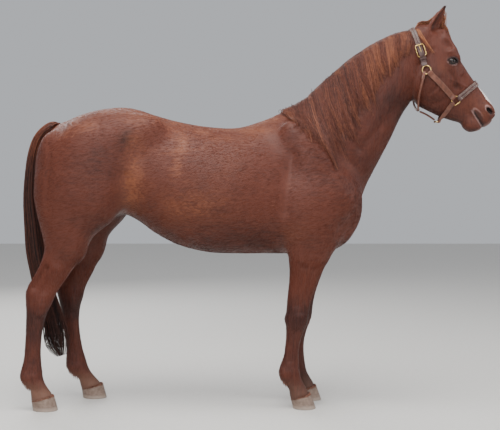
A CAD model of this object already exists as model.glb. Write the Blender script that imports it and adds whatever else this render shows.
import math

import bmesh
import bpy
import numpy as np
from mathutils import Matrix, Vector


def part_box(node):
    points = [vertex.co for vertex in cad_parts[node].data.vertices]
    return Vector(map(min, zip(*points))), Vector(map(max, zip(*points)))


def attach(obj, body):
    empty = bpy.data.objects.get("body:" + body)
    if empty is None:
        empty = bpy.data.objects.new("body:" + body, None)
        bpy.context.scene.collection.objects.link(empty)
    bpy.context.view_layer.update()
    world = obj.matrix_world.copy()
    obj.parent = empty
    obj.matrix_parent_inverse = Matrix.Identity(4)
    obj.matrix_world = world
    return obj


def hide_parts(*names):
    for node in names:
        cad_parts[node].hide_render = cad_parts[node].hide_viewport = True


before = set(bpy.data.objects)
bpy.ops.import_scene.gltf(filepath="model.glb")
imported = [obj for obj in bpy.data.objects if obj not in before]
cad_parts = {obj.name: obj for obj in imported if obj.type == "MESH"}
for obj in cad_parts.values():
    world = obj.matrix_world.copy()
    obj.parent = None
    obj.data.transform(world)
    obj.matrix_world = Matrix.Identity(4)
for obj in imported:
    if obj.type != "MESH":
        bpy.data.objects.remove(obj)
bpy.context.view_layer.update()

MM = 0.001
SEED = 11
SIDES = {-1: "right", 1: "left"}

# ---- sizes of the body

# Trunk stations: along, underline, topline, half width, widest height, roundness above and below it
TRUNK = [
    [-1060, 1080, 1330, 105, 1200, 2.0, 2.0],
    [-1005, 985, 1405, 172, 1190, 1.9, 2.0],
    [-930, 935, 1436, 220, 1180, 1.8, 2.0],
    [-840, 920, 1462, 248, 1180, 1.75, 2.0],
    [-740, 935, 1487, 258, 1180, 1.75, 2.0],
    [-660, 960, 1496, 256, 1180, 1.75, 2.1],
    [-590, 930, 1486, 254, 1160, 1.8, 2.2],
    [-500, 866, 1457, 262, 1125, 1.9, 2.2],
    [-390, 810, 1427, 276, 1090, 2.0, 2.2],
    [-240, 773, 1401, 288, 1060, 2.1, 2.15],
    [-90, 766, 1397, 284, 1050, 2.0, 2.1],
    [50, 766, 1438, 258, 1050, 1.7, 2.1],
    [150, 766, 1480, 236, 1060, 1.45, 2.2],
    [240, 770, 1488, 222, 1070, 1.4, 2.3],
    [340, 782, 1420, 208, 1070, 1.6, 2.3],
    [430, 830, 1300, 180, 1060, 1.9, 2.2],
    [500, 905, 1200, 135, 1050, 2.0, 2.0],
]
# Neck, from its root: along, underline, crest, half width, widest line, roundness above and below it
NECK = [
    [-60, -330, 160, 165, -60, 1.7, 2.0],
    [60, -322, 200, 160, -70, 1.5, 2.0],
    [160, -290, 212, 148, -70, 1.35, 2.1],
    [260, -258, 216, 130, -60, 1.3, 2.1],
    [372, -222, 213, 110, -40, 1.3, 2.1],
    [505, -174, 202, 94, -20, 1.4, 2.1],
    [610, -152, 184, 86, -5, 1.5, 2.1],
    [700, -138, 160, 81, 0, 1.7, 2.1],
    [800, -112, 116, 72, 0, 1.9, 2.1],
    [860, -80, 74, 56, 0, 2.0, 2.0],
]
NECK_ROOT = (250, 0, 1230)
NECK_RISE = 44.5
# Upper head and jaw, from the poll down the face: the same columns, above the line from poll to lips
SKULL = [
    [-45, -70, 8, 44, -20, 2.0, 2.0],
    [0, -100, 50, 66, -5, 2.1, 2.2],
    [40, -115, 70, 72, 8, 2.2, 2.3],
    [90, -125, 74, 81, 22, 2.5, 2.3],
    [150, -130, 66, 89, 28, 2.8, 2.3],
    [200, -130, 60, 88, 18, 2.8, 2.4],
    [255, -130, 61, 75, 0, 2.6, 2.4],
    [315, -125, 62, 61, -8, 2.4, 2.3],
    [375, -105, 66, 52, -8, 2.3, 2.3],
    [435, -70, 73, 50, 2, 2.3, 2.4],
    [480, -42, 73, 53, 8, 2.4, 2.4],
    [515, -34, 68, 52, 8, 2.4, 2.4],
    [545, -32, 46, 44, 4, 2.3, 2.3],
    [566, -28, 20, 30, 0, 2.0, 2.0],
]
JAW = [
    [135, -165, -40, 60, -90, 2.2, 2.2],
    [180, -212, -40, 72, -100, 2.4, 2.6],
    [235, -238, -40, 77, -108, 2.5, 2.7],
    [285, -234, -40, 72, -105, 2.5, 2.7],
    [345, -204, -40, 59, -98, 2.4, 2.5],
    [400, -171, -35, 46, -88, 2.3, 2.4],
    [445, -138, -30, 38, -77, 2.2, 2.3],
    [480, -112, -30, 36, -66, 2.2, 2.2],
    [512, -112, -30, 40, -66, 2.2, 2.1],
    [542, -98, -32, 36, -60, 2.2, 2.1],
    [562, -66, -36, 22, -50, 2.0, 2.0],
]
HEAD_RISE = -55.7
HEAD_ROOT = (850, 0, 1880)

# Legs, from the floor up: height, back, front, half width, middle line out from the body's middle
FORELEG = [
    [20, 178, 285, 50, 115],
    [60, 170, 268, 44, 115],
    [95, 163, 252, 36, 115],
    [120, 146, 238, 33, 115],
    [150, 122, 224, 37, 115],
    [178, 114, 218, 38, 115],
    [215, 122, 214, 33, 115],
    [260, 138, 212, 29, 115],
    [310, 145, 216, 29, 115],
    [365, 150, 231, 35, 115],
    [400, 149, 246, 42, 115],
    [435, 148, 258, 45, 115],
    [465, 150, 261, 44, 115],
    [510, 153, 268, 41, 116],
    [570, 159, 284, 44, 118],
    [640, 166, 310, 50, 121],
    [700, 166, 337, 57, 125],
    [755, 160, 368, 64, 130],
    [810, 152, 396, 72, 136],
    [880, 150, 418, 78, 142],
    [960, 165, 440, 74, 145],
]
HIND_LEG = [
    [15, -1104, -980, 50, 167],
    [40, -1108, -990, 46, 167],
    [78, -1110, -1008, 38, 166],
    [105, -1118, -1026, 34, 165],
    [130, -1146, -1042, 38, 164],
    [158, -1162, -1052, 39, 163],
    [195, -1160, -1056, 34, 162],
    [250, -1146, -1062, 30, 160],
    [310, -1140, -1062, 28, 159],
    [380, -1136, -1056, 31, 157],
    [430, -1134, -1046, 37, 156],
    [480, -1132, -1030, 44, 155],
    [530, -1134, -1006, 46, 154],
    [575, -1134, -986, 43, 153],
    [610, -1124, -964, 42, 152],
    [655, -1098, -932, 47, 151],
    [720, -1064, -890, 56, 150],
    [785, -1044, -856, 66, 148],
    [845, -1044, -816, 78, 147],
    [915, -1054, -748, 92, 146],
    [985, -1070, -690, 104, 146],
    [1060, -1078, -690, 112, 148],
    [1150, -1060, -690, 100, 150],
]
# Each leg: its table, its side, how far its hoof stands ahead, the height its lean starts from, its blend
LEGS = {
    "foreleg_right": (FORELEG, -1, 0, 1700, 45),
    "foreleg_left": (FORELEG, 1, 42, 1700, 45),
    "hind_leg_right": (HIND_LEG, -1, 0, 1100, 55),
    "hind_leg_left": (HIND_LEG, 1, 208, 1100, 55),
}
# Muscles and bones on both sides: middle, half sizes (along, out, up), turn, blend, leans with a hind leg
MASSES = [
    [(275, 138, 1225), (82, 58, 225), 32, 90, False],  # shoulder blade
    [(345, 160, 1010), (125, 58, 100), 30, 80, False],  # upper arm
    [(225, 172, 985), (120, 58, 130), -30, 80, False],  # elbow muscle
    [(420, 128, 1060), (75, 66, 100), 0, 80, False],  # point of the shoulder
    [(440, 84, 985), (75, 66, 115), 10, 60, False],  # breast
    [(320, 70, 862), (140, 66, 70), 0, 70, False],  # underside of the breast
    [(-560, 160, 1372), (95, 52, 62), 24, 100, False],  # point of the hip
    [(-730, 115, 1335), (190, 118, 118), -8, 110, False],  # croup
    [(-885, 185, 1130), (160, 84, 240), -18, 100, True],  # thigh
    [(-760, 175, 1030), (84, 76, 115), -25, 90, True],  # stifle
    [(-1008, 112, 1150), (76, 84, 210), 4, 80, False],  # buttock
    [(-935, 163, 865), (80, 58, 140), 30, 60, True],  # gaskin
]
# Head forms on both sides, in face measures (down the face, out, above the face line)
HEAD_MASSES = [
    [(225, 58, -105), (92, 32, 95), 30],  # cheek muscle
    [(178, 76, 42), (42, 26, 22), 22],  # brow over the eye
    [(505, 36, 38), (42, 20, 26), 18],  # wing of the nostril
]
HEAD_RIDGES = [
    [(225, 78, 0), (320, 56, -14), (16, 9), 18],  # crest of the face
    [(60, 52, 62), (150, 78, 48), (20, 18), 24],  # temple
]
HEAD_HOLLOWS = [
    [(120, 92, 42), (26, 14, 14), 0, 20],  # hollow above the eye
    [(345, 66, 20), (50, 10, 16), 0, 22],  # side of the nose
    [(508, 60, 36), (23, 26, 9), 18, 8],  # nostril
]
MOUTH = [(456, 54, -30), (500, 46, -30), (578, 10, -33)]

# Grooves between muscles, on both sides: their line (along, up), depth, width
BODY_GROOVES = [
    [[(176, 1255), (150, 1120), (136, 985)], 9, 30],  # behind the shoulder
    [[(405, 1330), (440, 1210), (466, 1090)], 5, 26],  # neck to shoulder
    [[(396, 862), (430, 915), (470, 960)], 6, 16],  # arm to breast
    [[(520, 1290), (640, 1425), (765, 1560)], 6, 24],  # jugular groove
    [[(-1004, 1285), (-1010, 1130), (-1012, 985)], 4, 20],  # back of the thigh
    [[(-640, 1150), (-650, 1060), (-690, 985)], 10, 34],  # flank to stifle
    [[(-835, 940), (-905, 830), (-968, 730)], 5, 20],  # down the gaskin
    [[(-590, 1300), (-560, 1180), (-600, 1080)], 7, 60],  # hollow of the flank
]

# Folds round each eye: radius, width, height, and the heights over its middle where the fold fades in
EYE_FOLDS = [
    (24.5, 2.3, -2.6, (-1, 8)),
    (30, 3.6, 1.6, (-1, 8)),
    (36, 3.0, -1.3, (2, 14)),
    (22.5, 2.2, -1.4, (0, -7)),
    (29, 2.6, -0.9, (-2, -12)),
]
NOSTRIL = (508, 36)  # down the face and above its line
# Lines on the face, in face measures: their line (down, above), height, width
FACE_LINES = [
    [[(262, -48), (300, -20), (345, 8), (392, 18)], 1.9, 4.5],  # vein
    [[(300, -20), (330, -34), (372, -46)], 1.3, 4],
    [[(313, -40), (322, -30)], -4.2, 12],  # hollow under the crest of the face
    [[(250, 46), (330, 48), (400, 46)], 2.2, 8],  # edge of the nasal bone
    [[(240, -78), (266, -120), (268, -165)], -3.0, 9],  # front edge of the cheek
    [[(96, -30), (112, -70), (120, -120)], -4.0, 12],  # behind the cheek
    [[(440, -112), (470, -98)], -2.5, 8],  # chin groove
    [[(232, -30), (262, -24)], -1.6, 6],
]
# Forms of the legs: height, share of the depth from the back, reach up and down, height of the form, width
# as a share, and how far to the side it starts, or, below 0, how far it keeps from the side
LEG_FORMS = {
    "foreleg": [
        (312, 0.43, 92, -3.6, 0.1, 0.5),  # between bone and tendon
        (312, 0.2, 88, -1.8, 0.06, 0.5),  # between the tendons
        (318, 0.31, 90, 1.2, 0.05, 0.5),
        (172, 0.2, 20, 3.4, 0.16, 0.3),  # back of the fetlock
        (186, 0.62, 14, 2.4, 0.2, 0.5),
        (128, 0.22, 18, -2.6, 0.2, 0.2),  # behind the pastern
        (448, 0.02, 24, 6, 0.16, -1.0),  # bone behind the knee
        (414, 1.0, 5, -2.2, 0.3, -0.9),  # between the bones of the knee
        (438, 1.0, 5, -1.8, 0.3, -0.9),
        (462, 0.72, 12, 2.6, 0.16, 0.5),
        (400, 0.7, 12, 2.2, 0.16, 0.5),
        (620, 0.4, 100, -3.2, 0.07, 0.5),  # muscles of the forearm
        (620, 0.7, 90, -2.6, 0.06, 0.5),
    ],
    "hind_leg": [
        (325, 0.42, 105, -3.8, 0.1, 0.5),
        (325, 0.2, 100, -1.8, 0.06, 0.5),
        (330, 0.31, 100, 1.2, 0.05, 0.5),
        (158, 0.2, 20, 3.6, 0.16, 0.3),
        (172, 0.62, 14, 2.4, 0.2, 0.5),
        (112, 0.22, 18, -2.6, 0.2, 0.2),
        (655, 0.22, 62, -6, 0.1, 0.35),  # ahead of the hock's tendon
        (560, 0.66, 20, 4.5, 0.16, 0.45),  # knuckle of the hock
        (520, 0.36, 26, -3.0, 0.12, 0.45),
        (475, 0.68, 18, 3.2, 0.14, 0.45),
        (500, 0.12, 70, 1.8, 0.1, 0.3),
        (450, 0.5, 14, -2.0, 0.2, 0.45),
    ],
}
# Where golden spring hair shows through, and where the coat is lighter or darker: middle, reach, strength
GINGER_ZONES = [
    [(-590, 1270), (70, 150), 0.5],  # from the hip
    [(-605, 1080), (60, 110), 0.6],  # down to the flank
    [(-300, 1010), (210, 110), 0.55],  # low on the barrel
    [(20, 1400), (110, 80), 0.45],  # behind the withers
    [(-150, 1230), (160, 120), 0.22],  # middle of the ribs
    [(190, 880), (90, 70), 0.3],  # elbow
    [(-1010, 1200), (60, 160), 0.2],  # edge of the buttock
]
TONE_ZONES = [
    [(-631, 1335), (34, 46), -0.55],  # hollow behind the hip
    [(-352, 1300), (26, 60), 0.4],  # last rib
    [(-378, 1200), (24, 60), 0.3],
    [(-720, 1200), (150, 120), -0.12],  # thigh
    [(300, 1180), (90, 150), -0.15],  # shoulder
    [(-560, 1420), (160, 40), 0.2],  # loin
    [(-880, 1370), (120, 70), 0.25],  # croup
    [(720, 1500), (90, 90), -0.3],  # throat
]
# The same on the face, in face measures
FACE_GINGER_ZONES = [[(215, -40), (60, 40), 0.35]]
FACE_TONE_ZONES = [[(313, -35), (18, 16), -0.3], [(210, -110), (90, 80), -0.28]]
# The white stripe's half width, down the face
STRIPE = [(180, 12), (205, 6), (300, 7), (345, 15), (400, 27), (470, 38), (520, 44), (560, 32)]
OUTSIDE = -30  # well outside the white, in millimetres

EYE = (199, 81, 13)
EYE_RADIUS = 20.5
LID = 4.2  # how far the lids stand over the eyeball
PUPIL_HALF = (8.0, 4.6)  # along and up
EYE_SLIT = {"half": 21.5, "up": 13.5, "down": 9.5, "tilt": -14}

EAR_BASE = (868, 44, 1868)
EAR_TIP = (943, 66, 2004)
EAR_FACING = (0.62, 0.72, -0.3)
EAR_REACH = 40  # points nearer to an ear's axis than this lie on it
# Share of the way to the tip, half width, half depth
EAR = [
    [-0.2, 24, 22],
    [0.0, 27, 24],
    [0.22, 32, 22],
    [0.5, 28, 16],
    [0.75, 18, 11],
    [0.92, 9, 6],
    [1.0, 4, 4],
]

HOOVES = {
    "foreleg": {"middle": 240, "ground": (-56, 58, 60), "top": (-67, 31, 49)},
    "hind_leg": {"middle": -1040, "ground": (-61, 62, 59), "top": (-68, 42, 48)},
}
HOOF_TOE, HOOF_HEEL = 74, 46  # how high the horn reaches ahead and behind
SOLE_RISE = 3.0  # how far the sole's middle lies over the ground

# ---- small sums


def smooth(low, high, v):
    """A soft step from 0 at low to 1 at high."""
    t = np.clip((v - low) / (high - low), 0, 1)
    return t * t * (3 - 2 * t)


def bump(v, middle, width):
    """1 at the middle, and softly down to 0 on both sides of it."""
    return np.exp(-(((v - middle) / width) ** 2))


def turns(count):
    """Angles evenly round a circle."""
    return np.linspace(0, 2 * math.pi, count + 1)[:-1]


def columns_at(rows, at):
    """A table's columns, each read between its rows."""
    return [np.interp(at, range(len(rows)), column) for column in np.array(rows, float).T]


def kind_of(leg_name):
    return leg_name.rsplit("_", 1)[0]


def unit(v):
    v = np.asarray(v, float)
    return v / np.maximum(np.linalg.norm(v, axis=-1, keepdims=True), 1e-9)


def sloped(degrees):
    """The directions along and up a line that rises by an angle in the middle plane."""
    a = math.radians(degrees)
    return np.array([math.cos(a), 0, math.sin(a)]), np.array([-math.sin(a), 0, math.cos(a)])


HEAD_ALONG, HEAD_UP = sloped(HEAD_RISE)


def face(down, out, above):
    """A point of the head from its face measures."""
    return np.array(HEAD_ROOT) + HEAD_ALONG * down + HEAD_UP * above + np.array([0, out, 0])


def face_measures(p):
    """Down the face, out from the middle and above the face line, of each point."""
    q = p - np.array(HEAD_ROOT)
    return q @ HEAD_ALONG, np.abs(q[:, 1]), q @ HEAD_UP


def mirrored(p, side):
    return np.array([p[0], p[1] * side, p[2]], float)


def curve_through(rows, count=240):
    """Places along a table and its values there, on a smooth curve through its rows."""
    rows = np.array(rows, float)
    at, values = rows[:, 0], rows[:, 1:]
    slope = np.gradient(values, at, axis=0)
    slope[1:-1] = (values[2:] - values[:-2]) / (at[2:] - at[:-2])[:, None]
    dense = np.linspace(at[0], at[-1], count)
    i = np.clip(np.searchsorted(at, dense) - 1, 0, len(at) - 2)
    step = (at[i + 1] - at[i])[:, None]
    t = (dense - at[i])[:, None] / step
    rise = t * t * (3 - 2 * t)
    made = values[i] * (1 - rise) + values[i + 1] * rise
    made += t * (1 - t) ** 2 * step * slope[i] + t * t * (t - 1) * step * slope[i + 1]
    return dense, made


# ---- distance forms


class Form:
    """A distance form, and the box outside which it has no say."""

    def __init__(self, low, high, distance):
        self.low, self.high, self.distance = np.array(low, float), np.array(high, float), distance


REACH = 75  # room kept round a form for its blend


def rounded_end(side, end, radius):
    a, b = side + radius, end + radius
    return np.minimum(np.maximum(a, b), 0) + np.hypot(np.maximum(a, 0), np.maximum(b, 0)) - radius


def loft(rows, root=(0, 0, 0), rise=0, ends=(30, 30)):
    """A body along a line whose sections have their own lower, upper and side reach."""
    at, values = curve_through(rows)
    root = np.array(root, float)
    along, up = sloped(rise)
    lows, highs = values[:, 0].min() - REACH, values[:, 1].max() + REACH
    corners = [root + along * u + up * v for u in (at[0] - REACH, at[-1] + REACH) for v in (lows, highs)]
    low, high = np.min(corners, axis=0), np.max(corners, axis=0)
    low[1], high[1] = -values[:, 2].max() - REACH, values[:, 2].max() + REACH

    def distance(p):
        q = p - root
        u = q @ along
        inside = np.clip(u, at[0], at[-1])
        under, over, half, widest, above, below = (np.interp(inside, at, c) for c in values.T)
        v = q @ up - widest
        power = np.where(v > 0, above, below)
        reach = np.where(v > 0, over - widest, widest - under)
        y = np.abs(q[:, 1])
        rho = ((np.abs(v) / reach) ** power + (y / half) ** power) ** (1 / power)
        side = np.hypot(v, y) * (1 - 1 / np.maximum(rho, 1e-3))
        radius = np.where(u < (at[0] + at[-1]) / 2, float(ends[0]), float(ends[1]))
        return rounded_end(side, np.maximum(at[0] - u, u - at[-1]), radius)

    return Form(low, high, distance)


LEG_ROUNDNESS = 2.25
LEG_END = 12  # rounding of a leg's ends
LEG_TOP = 740  # height up to which a leg has its own place on the unwrap


class Leg:
    """One leg: its edges at each height, and its form."""

    def __init__(self, rows, side, stride, pivot):
        self.at, self.values = curve_through(rows)
        self.side, self.stride, self.pivot = side, stride, pivot
        v = self.values
        out = side * v[:, 3]
        low = (v[:, 0].min() - REACH, (out - v[:, 2]).min() - REACH, self.at[0] - REACH)
        high = (v[:, 1].max() + REACH + stride, (out + v[:, 2]).max() + REACH, self.at[-1] + REACH)
        self.form = Form(low, high, self.distance)

    def lean(self, z):
        return self.stride * np.maximum(1 - z / self.pivot, 0)

    def edges(self, z):
        """Back, front, half width and middle line at a height."""
        z = np.clip(z, self.at[0], self.at[-1])
        back, front, half, middle = (np.interp(z, self.at, c) for c in self.values.T)
        return back + self.lean(z), front + self.lean(z), half, middle * self.side

    def distance(self, p):
        z = p[:, 2]
        back, front, half, middle = self.edges(z)
        x, y = p[:, 0] - (front + back) / 2, p[:, 1] - middle
        power = LEG_ROUNDNESS
        rho = ((np.abs(x) / ((front - back) / 2)) ** power + (np.abs(y) / half) ** power) ** (1 / power)
        around = np.hypot(x, y) * (1 - 1 / np.maximum(rho, 1e-3))
        return rounded_end(around, np.maximum(self.at[0] - z, z - self.at[-1]), LEG_END)

    def spot(self, z, share, out):
        """A point by its height, its share of the depth from the back, and its share of the half width."""
        back, front, half, middle = self.edges(z)
        return np.array([back + share * (front - back), middle + out * half, z])


def swelling(middle, half, turn=0):
    """A rounded swelling with three half sizes, turned about the side axis."""
    middle, half = np.array(middle, float), np.array(half, float)
    along, up = sloped(turn)
    reach = np.abs(along) * half[0] + np.abs(up) * half[2] + np.array([0, half[1], 0]) + REACH

    def distance(p):
        q = p - middle
        local = np.stack([q @ along, q[:, 1], q @ up], 1)
        near = np.sqrt(((local / half) ** 2).sum(1))
        steep = np.sqrt(((local / half**2) ** 2).sum(1))
        return near * (near - 1) / np.maximum(steep, 1e-9)

    return Form(middle - reach, middle + reach, distance)


def bar(start, end, radii):
    """A round bar with its own radius at each end."""
    start, end = np.array(start, float), np.array(end, float)
    line = end - start
    room = max(radii) + REACH

    def distance(p):
        t = np.clip((p - start) @ line / (line @ line), 0, 1)
        return np.linalg.norm(p - start - t[:, None] * line, axis=1) - (radii[0] + t * (radii[1] - radii[0]))

    return Form(np.minimum(start, end) - room, np.maximum(start, end) + room, distance)


def joined(a, b, blend):
    """Two distances joined with a soft hollow between them."""
    h = np.maximum(blend - np.abs(a - b), 0) / blend
    return np.minimum(a, b) - h * h * blend / 4


def carved(a, b, blend):
    return -joined(-a, b, blend)


FAR = 400.0


def measure(p, steps):
    """Distance from each point to the body that the steps make."""
    d = np.full(len(p), FAR)
    for way, form, blend in steps:
        near = ((p > form.low) & (p < form.high)).all(1)
        if near.any():
            d[near] = way(d[near], form.distance(p[near]), blend)
    return d


# ---- the horse as one form

legs = {name: Leg(rows, side, stride, pivot) for name, (rows, side, stride, pivot, _) in LEGS.items()}


class Ear:
    """An ear's own axes: from its base to its tip, across it, and the way its opening looks."""

    def __init__(self, side):
        self.base = mirrored(EAR_BASE, side)
        line = mirrored(EAR_TIP, side) - self.base
        self.length = np.linalg.norm(line)
        self.axis = line / self.length
        facing = mirrored(EAR_FACING, side)
        self.open = unit(facing - self.axis * (facing @ self.axis))
        self.across = np.cross(self.axis, self.open)
        self.at, self.sizes = curve_through(EAR, 80)

    def local(self, p):
        """Share of the way to the tip, across, and out of the opening."""
        q = p - self.base
        return q @ self.axis / self.length, q @ self.across, q @ self.open

    def size(self, share):
        share = np.clip(share, self.at[0], self.at[-1])
        return np.interp(share, self.at, self.sizes[:, 0]), np.interp(share, self.at, self.sizes[:, 1])

    def form(self):
        middle = self.base + self.axis * self.length / 2
        reach = self.length / 2 + 60

        def distance(p):
            share, b, o = self.local(p)
            width, depth = self.size(share)
            rho = np.sqrt((b / width) ** 2 + (o / depth) ** 2)
            side = np.hypot(b, o) * (1 - 1 / np.maximum(rho, 1e-3))
            beyond = np.maximum(self.at[0] - share, share - self.at[-1]) * self.length
            return rounded_end(side, beyond, 3.5)

        return Form(middle - reach, middle + reach, distance)


ears = {side: Ear(side) for side in (-1, 1)}


class EyeSeat:
    """Where an eye sits: its middle, the way it looks, the line of its slit and the way up across it."""

    def __init__(self, side):
        self.middle = face(*mirrored(EYE, side))
        slit, up = sloped(EYE_SLIT["tilt"])
        self.look = unit(np.array([0, side, 0]) + 0.26 * slit + 0.1 * up)
        self.along = unit(slit - self.look * (slit @ self.look))
        self.up = np.cross(self.look, self.along)
        self.up *= math.copysign(1, self.up[2])

    def local(self, p):
        q = p - self.middle
        return q @ self.along, q @ self.up, q @ self.look

    def opening(self):
        """The almond between the lids, as deep as the eyeball's middle."""
        reach = np.full(3, 60.0)

        def distance(p):
            s, t, out = self.local(p)
            arch = 1 - np.abs(s / EYE_SLIT["half"]) ** 1.7
            lids = np.maximum(t - EYE_SLIT["up"] * arch, -t - EYE_SLIT["down"] * arch)
            return np.maximum(lids * 0.8, 5 - out)

        return Form(self.middle - reach, self.middle + reach, distance)


eye_seats = {side: EyeSeat(side) for side in (-1, 1)}


def trunk_and_neck():
    steps = [
        (joined, loft(TRUNK, ends=(60, 90)), 1),
        (joined, loft(NECK, NECK_ROOT, NECK_RISE, (60, 40)), 70),
    ]
    for middle, half, turn, blend, leans in MASSES:
        for side in (-1, 1):
            place = mirrored(middle, side)
            if leans:
                place[0] += legs["hind_leg_left" if side > 0 else "hind_leg_right"].lean(middle[2])
            steps.append((joined, swelling(place, half, turn), blend))
    return steps


# Bars that shape both sides of a leg: how each meets it, its ends (height, share of the depth, share of
# the half width), its radii, its blend
LEG_BARS = {
    "foreleg": [
        (carved, (380, 0.42, 1.12), (240, 0.44, 1.15), (7, 7), 12),  # groove ahead of the tendons
        (carved, (700, 0.4, 1.2), (520, 0.45, 1.25), (9, 7), 24),
        (carved, (690, 0.72, 1.05), (540, 0.75, 1.1), (8, 6), 20),
        (joined, (455, 0.55, 0.62), (415, 0.55, 0.62), (22, 20), 16),  # knee
        (joined, (190, 0.22, 0.45), (165, 0.25, 0.5), (18, 18), 14),  # fetlock
    ],
    "hind_leg": [
        (carved, (420, 0.5, 1.15), (240, 0.48, 1.15), (7, 7), 12),
        (carved, (700, 0.24, 0.95), (610, 0.26, 1.1), (13, 12), 20),
        (joined, (520, 0.62, 0.62), (480, 0.62, 0.6), (24, 20), 18),  # hock
        (joined, (175, 0.22, 0.45), (150, 0.25, 0.5), (18, 18), 14),
    ],
}


def leg_steps(name, leg):
    """A leg with its joints and the grooves of its tendons."""
    steps = [(joined, leg.form, LEGS[name][-1])]
    for out in (-1, 1):
        for way, start, end, radii, blend in LEG_BARS[kind_of(name)]:
            ends = [leg.spot(z, share, side * out) for z, share, side in (start, end)]
            steps.append((way, bar(*ends, radii), blend))
    return steps


def head_steps():
    steps = [
        (joined, loft(SKULL, HEAD_ROOT, HEAD_RISE, (30, 16)), 40),
        (joined, loft(JAW, HEAD_ROOT, HEAD_RISE, (40, 14)), 22),
    ]
    for side in (-1, 1):

        def on(p):
            return face(*mirrored(p, side))

        steps += [(joined, swelling(on(m), half, HEAD_RISE), blend) for m, half, blend in HEAD_MASSES]
        steps += [(joined, bar(on(a), on(b), radii), blend) for a, b, radii, blend in HEAD_RIDGES]
        steps += [(carved, swelling(on(m), half, HEAD_RISE + turn), blend)
                  for m, half, turn, blend in HEAD_HOLLOWS]
        steps += [(carved, bar(on(a), on(b), (2.4, 2.8)), 6) for a, b in zip(MOUTH, MOUTH[1:])]
        steps.append((joined, ears[side].form(), 14))
    return steps


plain_steps = trunk_and_neck()
for leg_name, leg in legs.items():
    plain_steps += leg_steps(leg_name, leg)
plain_steps += head_steps()


RAY, RAY_ROUNDS = 330.0, 15  # how far a ray reaches, and how often its end is halved


def cast_out(start, direction, clear, steps=plain_steps):
    """Where the rays from each start come out of the body, with some room over it."""
    start = np.asarray(start, float)
    direction = np.broadcast_to(direction, start.shape)
    near, far = np.zeros(start.shape[:-1]), np.full(start.shape[:-1], RAY)
    for _ in range(RAY_ROUNDS):
        middle = (near + far) / 2
        spots = start + middle[..., None] * direction
        inside = measure(spots.reshape(-1, 3), steps).reshape(middle.shape) < clear
        near, far = np.where(inside, middle, near), np.where(inside, far, middle)
    return start + far[..., None] * direction


def on_side(places, side, clear=0.0):
    """Points on one side of the body, by their places along and up."""
    places = np.asarray(places, float)
    start = np.stack([places[:, 0], np.zeros(len(places)), places[:, 1]], 1)
    return cast_out(start, [0.0, side, 0.0], clear)


def slope_of(p, steps=plain_steps, e=0.6):
    """The way out of the body at each point."""
    parts = []
    for axis in range(3):
        step = np.zeros(3)
        step[axis] = e
        parts.append(measure(p + step, steps) - measure(p - step, steps))
    return np.stack(parts, 1) / (2 * e)


def fine_steps():
    """The plain body with its eyelids and the almonds of its eyes."""
    steps = list(plain_steps)
    for side in (-1, 1):
        lid = EYE_RADIUS + LID
        steps.append((joined, swelling(eye_seats[side].middle, (lid, lid, lid)), 12))
        steps.append((carved, eye_seats[side].opening(), 2.2))
    return steps


# ---- the skin's net

HEAD_CENTRE = np.array([960.0, 0.0, 1690.0])
FINE_REACH = 300  # radius round the head where the net keeps its own cell
GROWTH = 3.1  # how much larger its cells are far away
CELL = 8.7
NET_LOW, NET_HIGH = np.array([-1010, -160, -860]), np.array([262, 160, 335])  # round the head's middle
# Where the net is drawn finer: middle, reach, size of a cell there
LENSES = []
for lens_side in (-1, 1):
    LENSES += [(eye_seats[lens_side].middle, 72, 0.42), (face(505, 44 * lens_side, 24), 62, 0.62)]


def spread(q):
    """From the even net to the body: cells are small on the head and grow away from it."""
    off = q - HEAD_CENTRE
    r = np.linalg.norm(off, axis=1, keepdims=True)
    grown = r + (GROWTH - 1) * np.maximum(r - FINE_REACH, 0)
    p = HEAD_CENTRE + off * grown / np.maximum(r, 1e-6)
    for middle, reach, zoom in LENSES:
        off = p - middle
        share = np.linalg.norm(off, axis=1, keepdims=True) / reach
        p = middle + off * (zoom + (1 - zoom) * smooth(0, 1, share))
    return p


LOWER, UPPER = slice(None, -1), slice(1, None)


def part_of_grid(picks):
    """A part of a grid: all of it, but for the slices picked along some of its axes."""
    return tuple(picks.get(axis, slice(None)) for axis in range(3))


def net_points(value, low, cell):
    """One point in each crossed cell of a grid of distances, and the quads that join them."""
    inside = value < 0
    shape = tuple(np.array(value.shape) - 1)
    count, total = np.zeros(shape), np.zeros(shape + (3,))
    crossings = []
    for axis in range(3):
        first, last = part_of_grid({axis: LOWER}), part_of_grid({axis: UPPER})
        a, b = value[first], value[last]
        crossed = inside[first] != inside[last]
        t = np.where(crossed, a / np.where(crossed, a - b, 1), 0)
        u, v = [(1, 2), (2, 0), (0, 1)][axis]
        for du, dv in ((0, 0), (0, 1), (1, 0), (1, 1)):
            part = part_of_grid({u: (LOWER, UPPER)[du], v: (LOWER, UPPER)[dv]})
            edge = crossed[part]
            count += edge
            total[..., axis] += t[part] * edge
            total[..., u] += du * edge
            total[..., v] += dv * edge
        crossings.append((crossed, inside[first], u, v))
    live = count > 0
    number = np.full(shape, -1)
    number[live] = np.arange(live.sum())
    points = low + (np.argwhere(live) + total[live] / count[live][:, None]) * cell
    quads = []
    for crossed, inward, u, v in crossings:
        at = np.argwhere(crossed)
        ring = []
        for du, dv in ((1, 1), (0, 1), (0, 0), (1, 0)):
            corner = at.copy()
            corner[:, u] -= du
            corner[:, v] -= dv
            ring.append(number[tuple(corner.T)])
        ring = np.stack(ring, 1)
        flip = ~inward[tuple(at.T)]
        ring[flip] = ring[flip][:, ::-1]
        quads.append(ring)
    return points, np.concatenate(quads)


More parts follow.
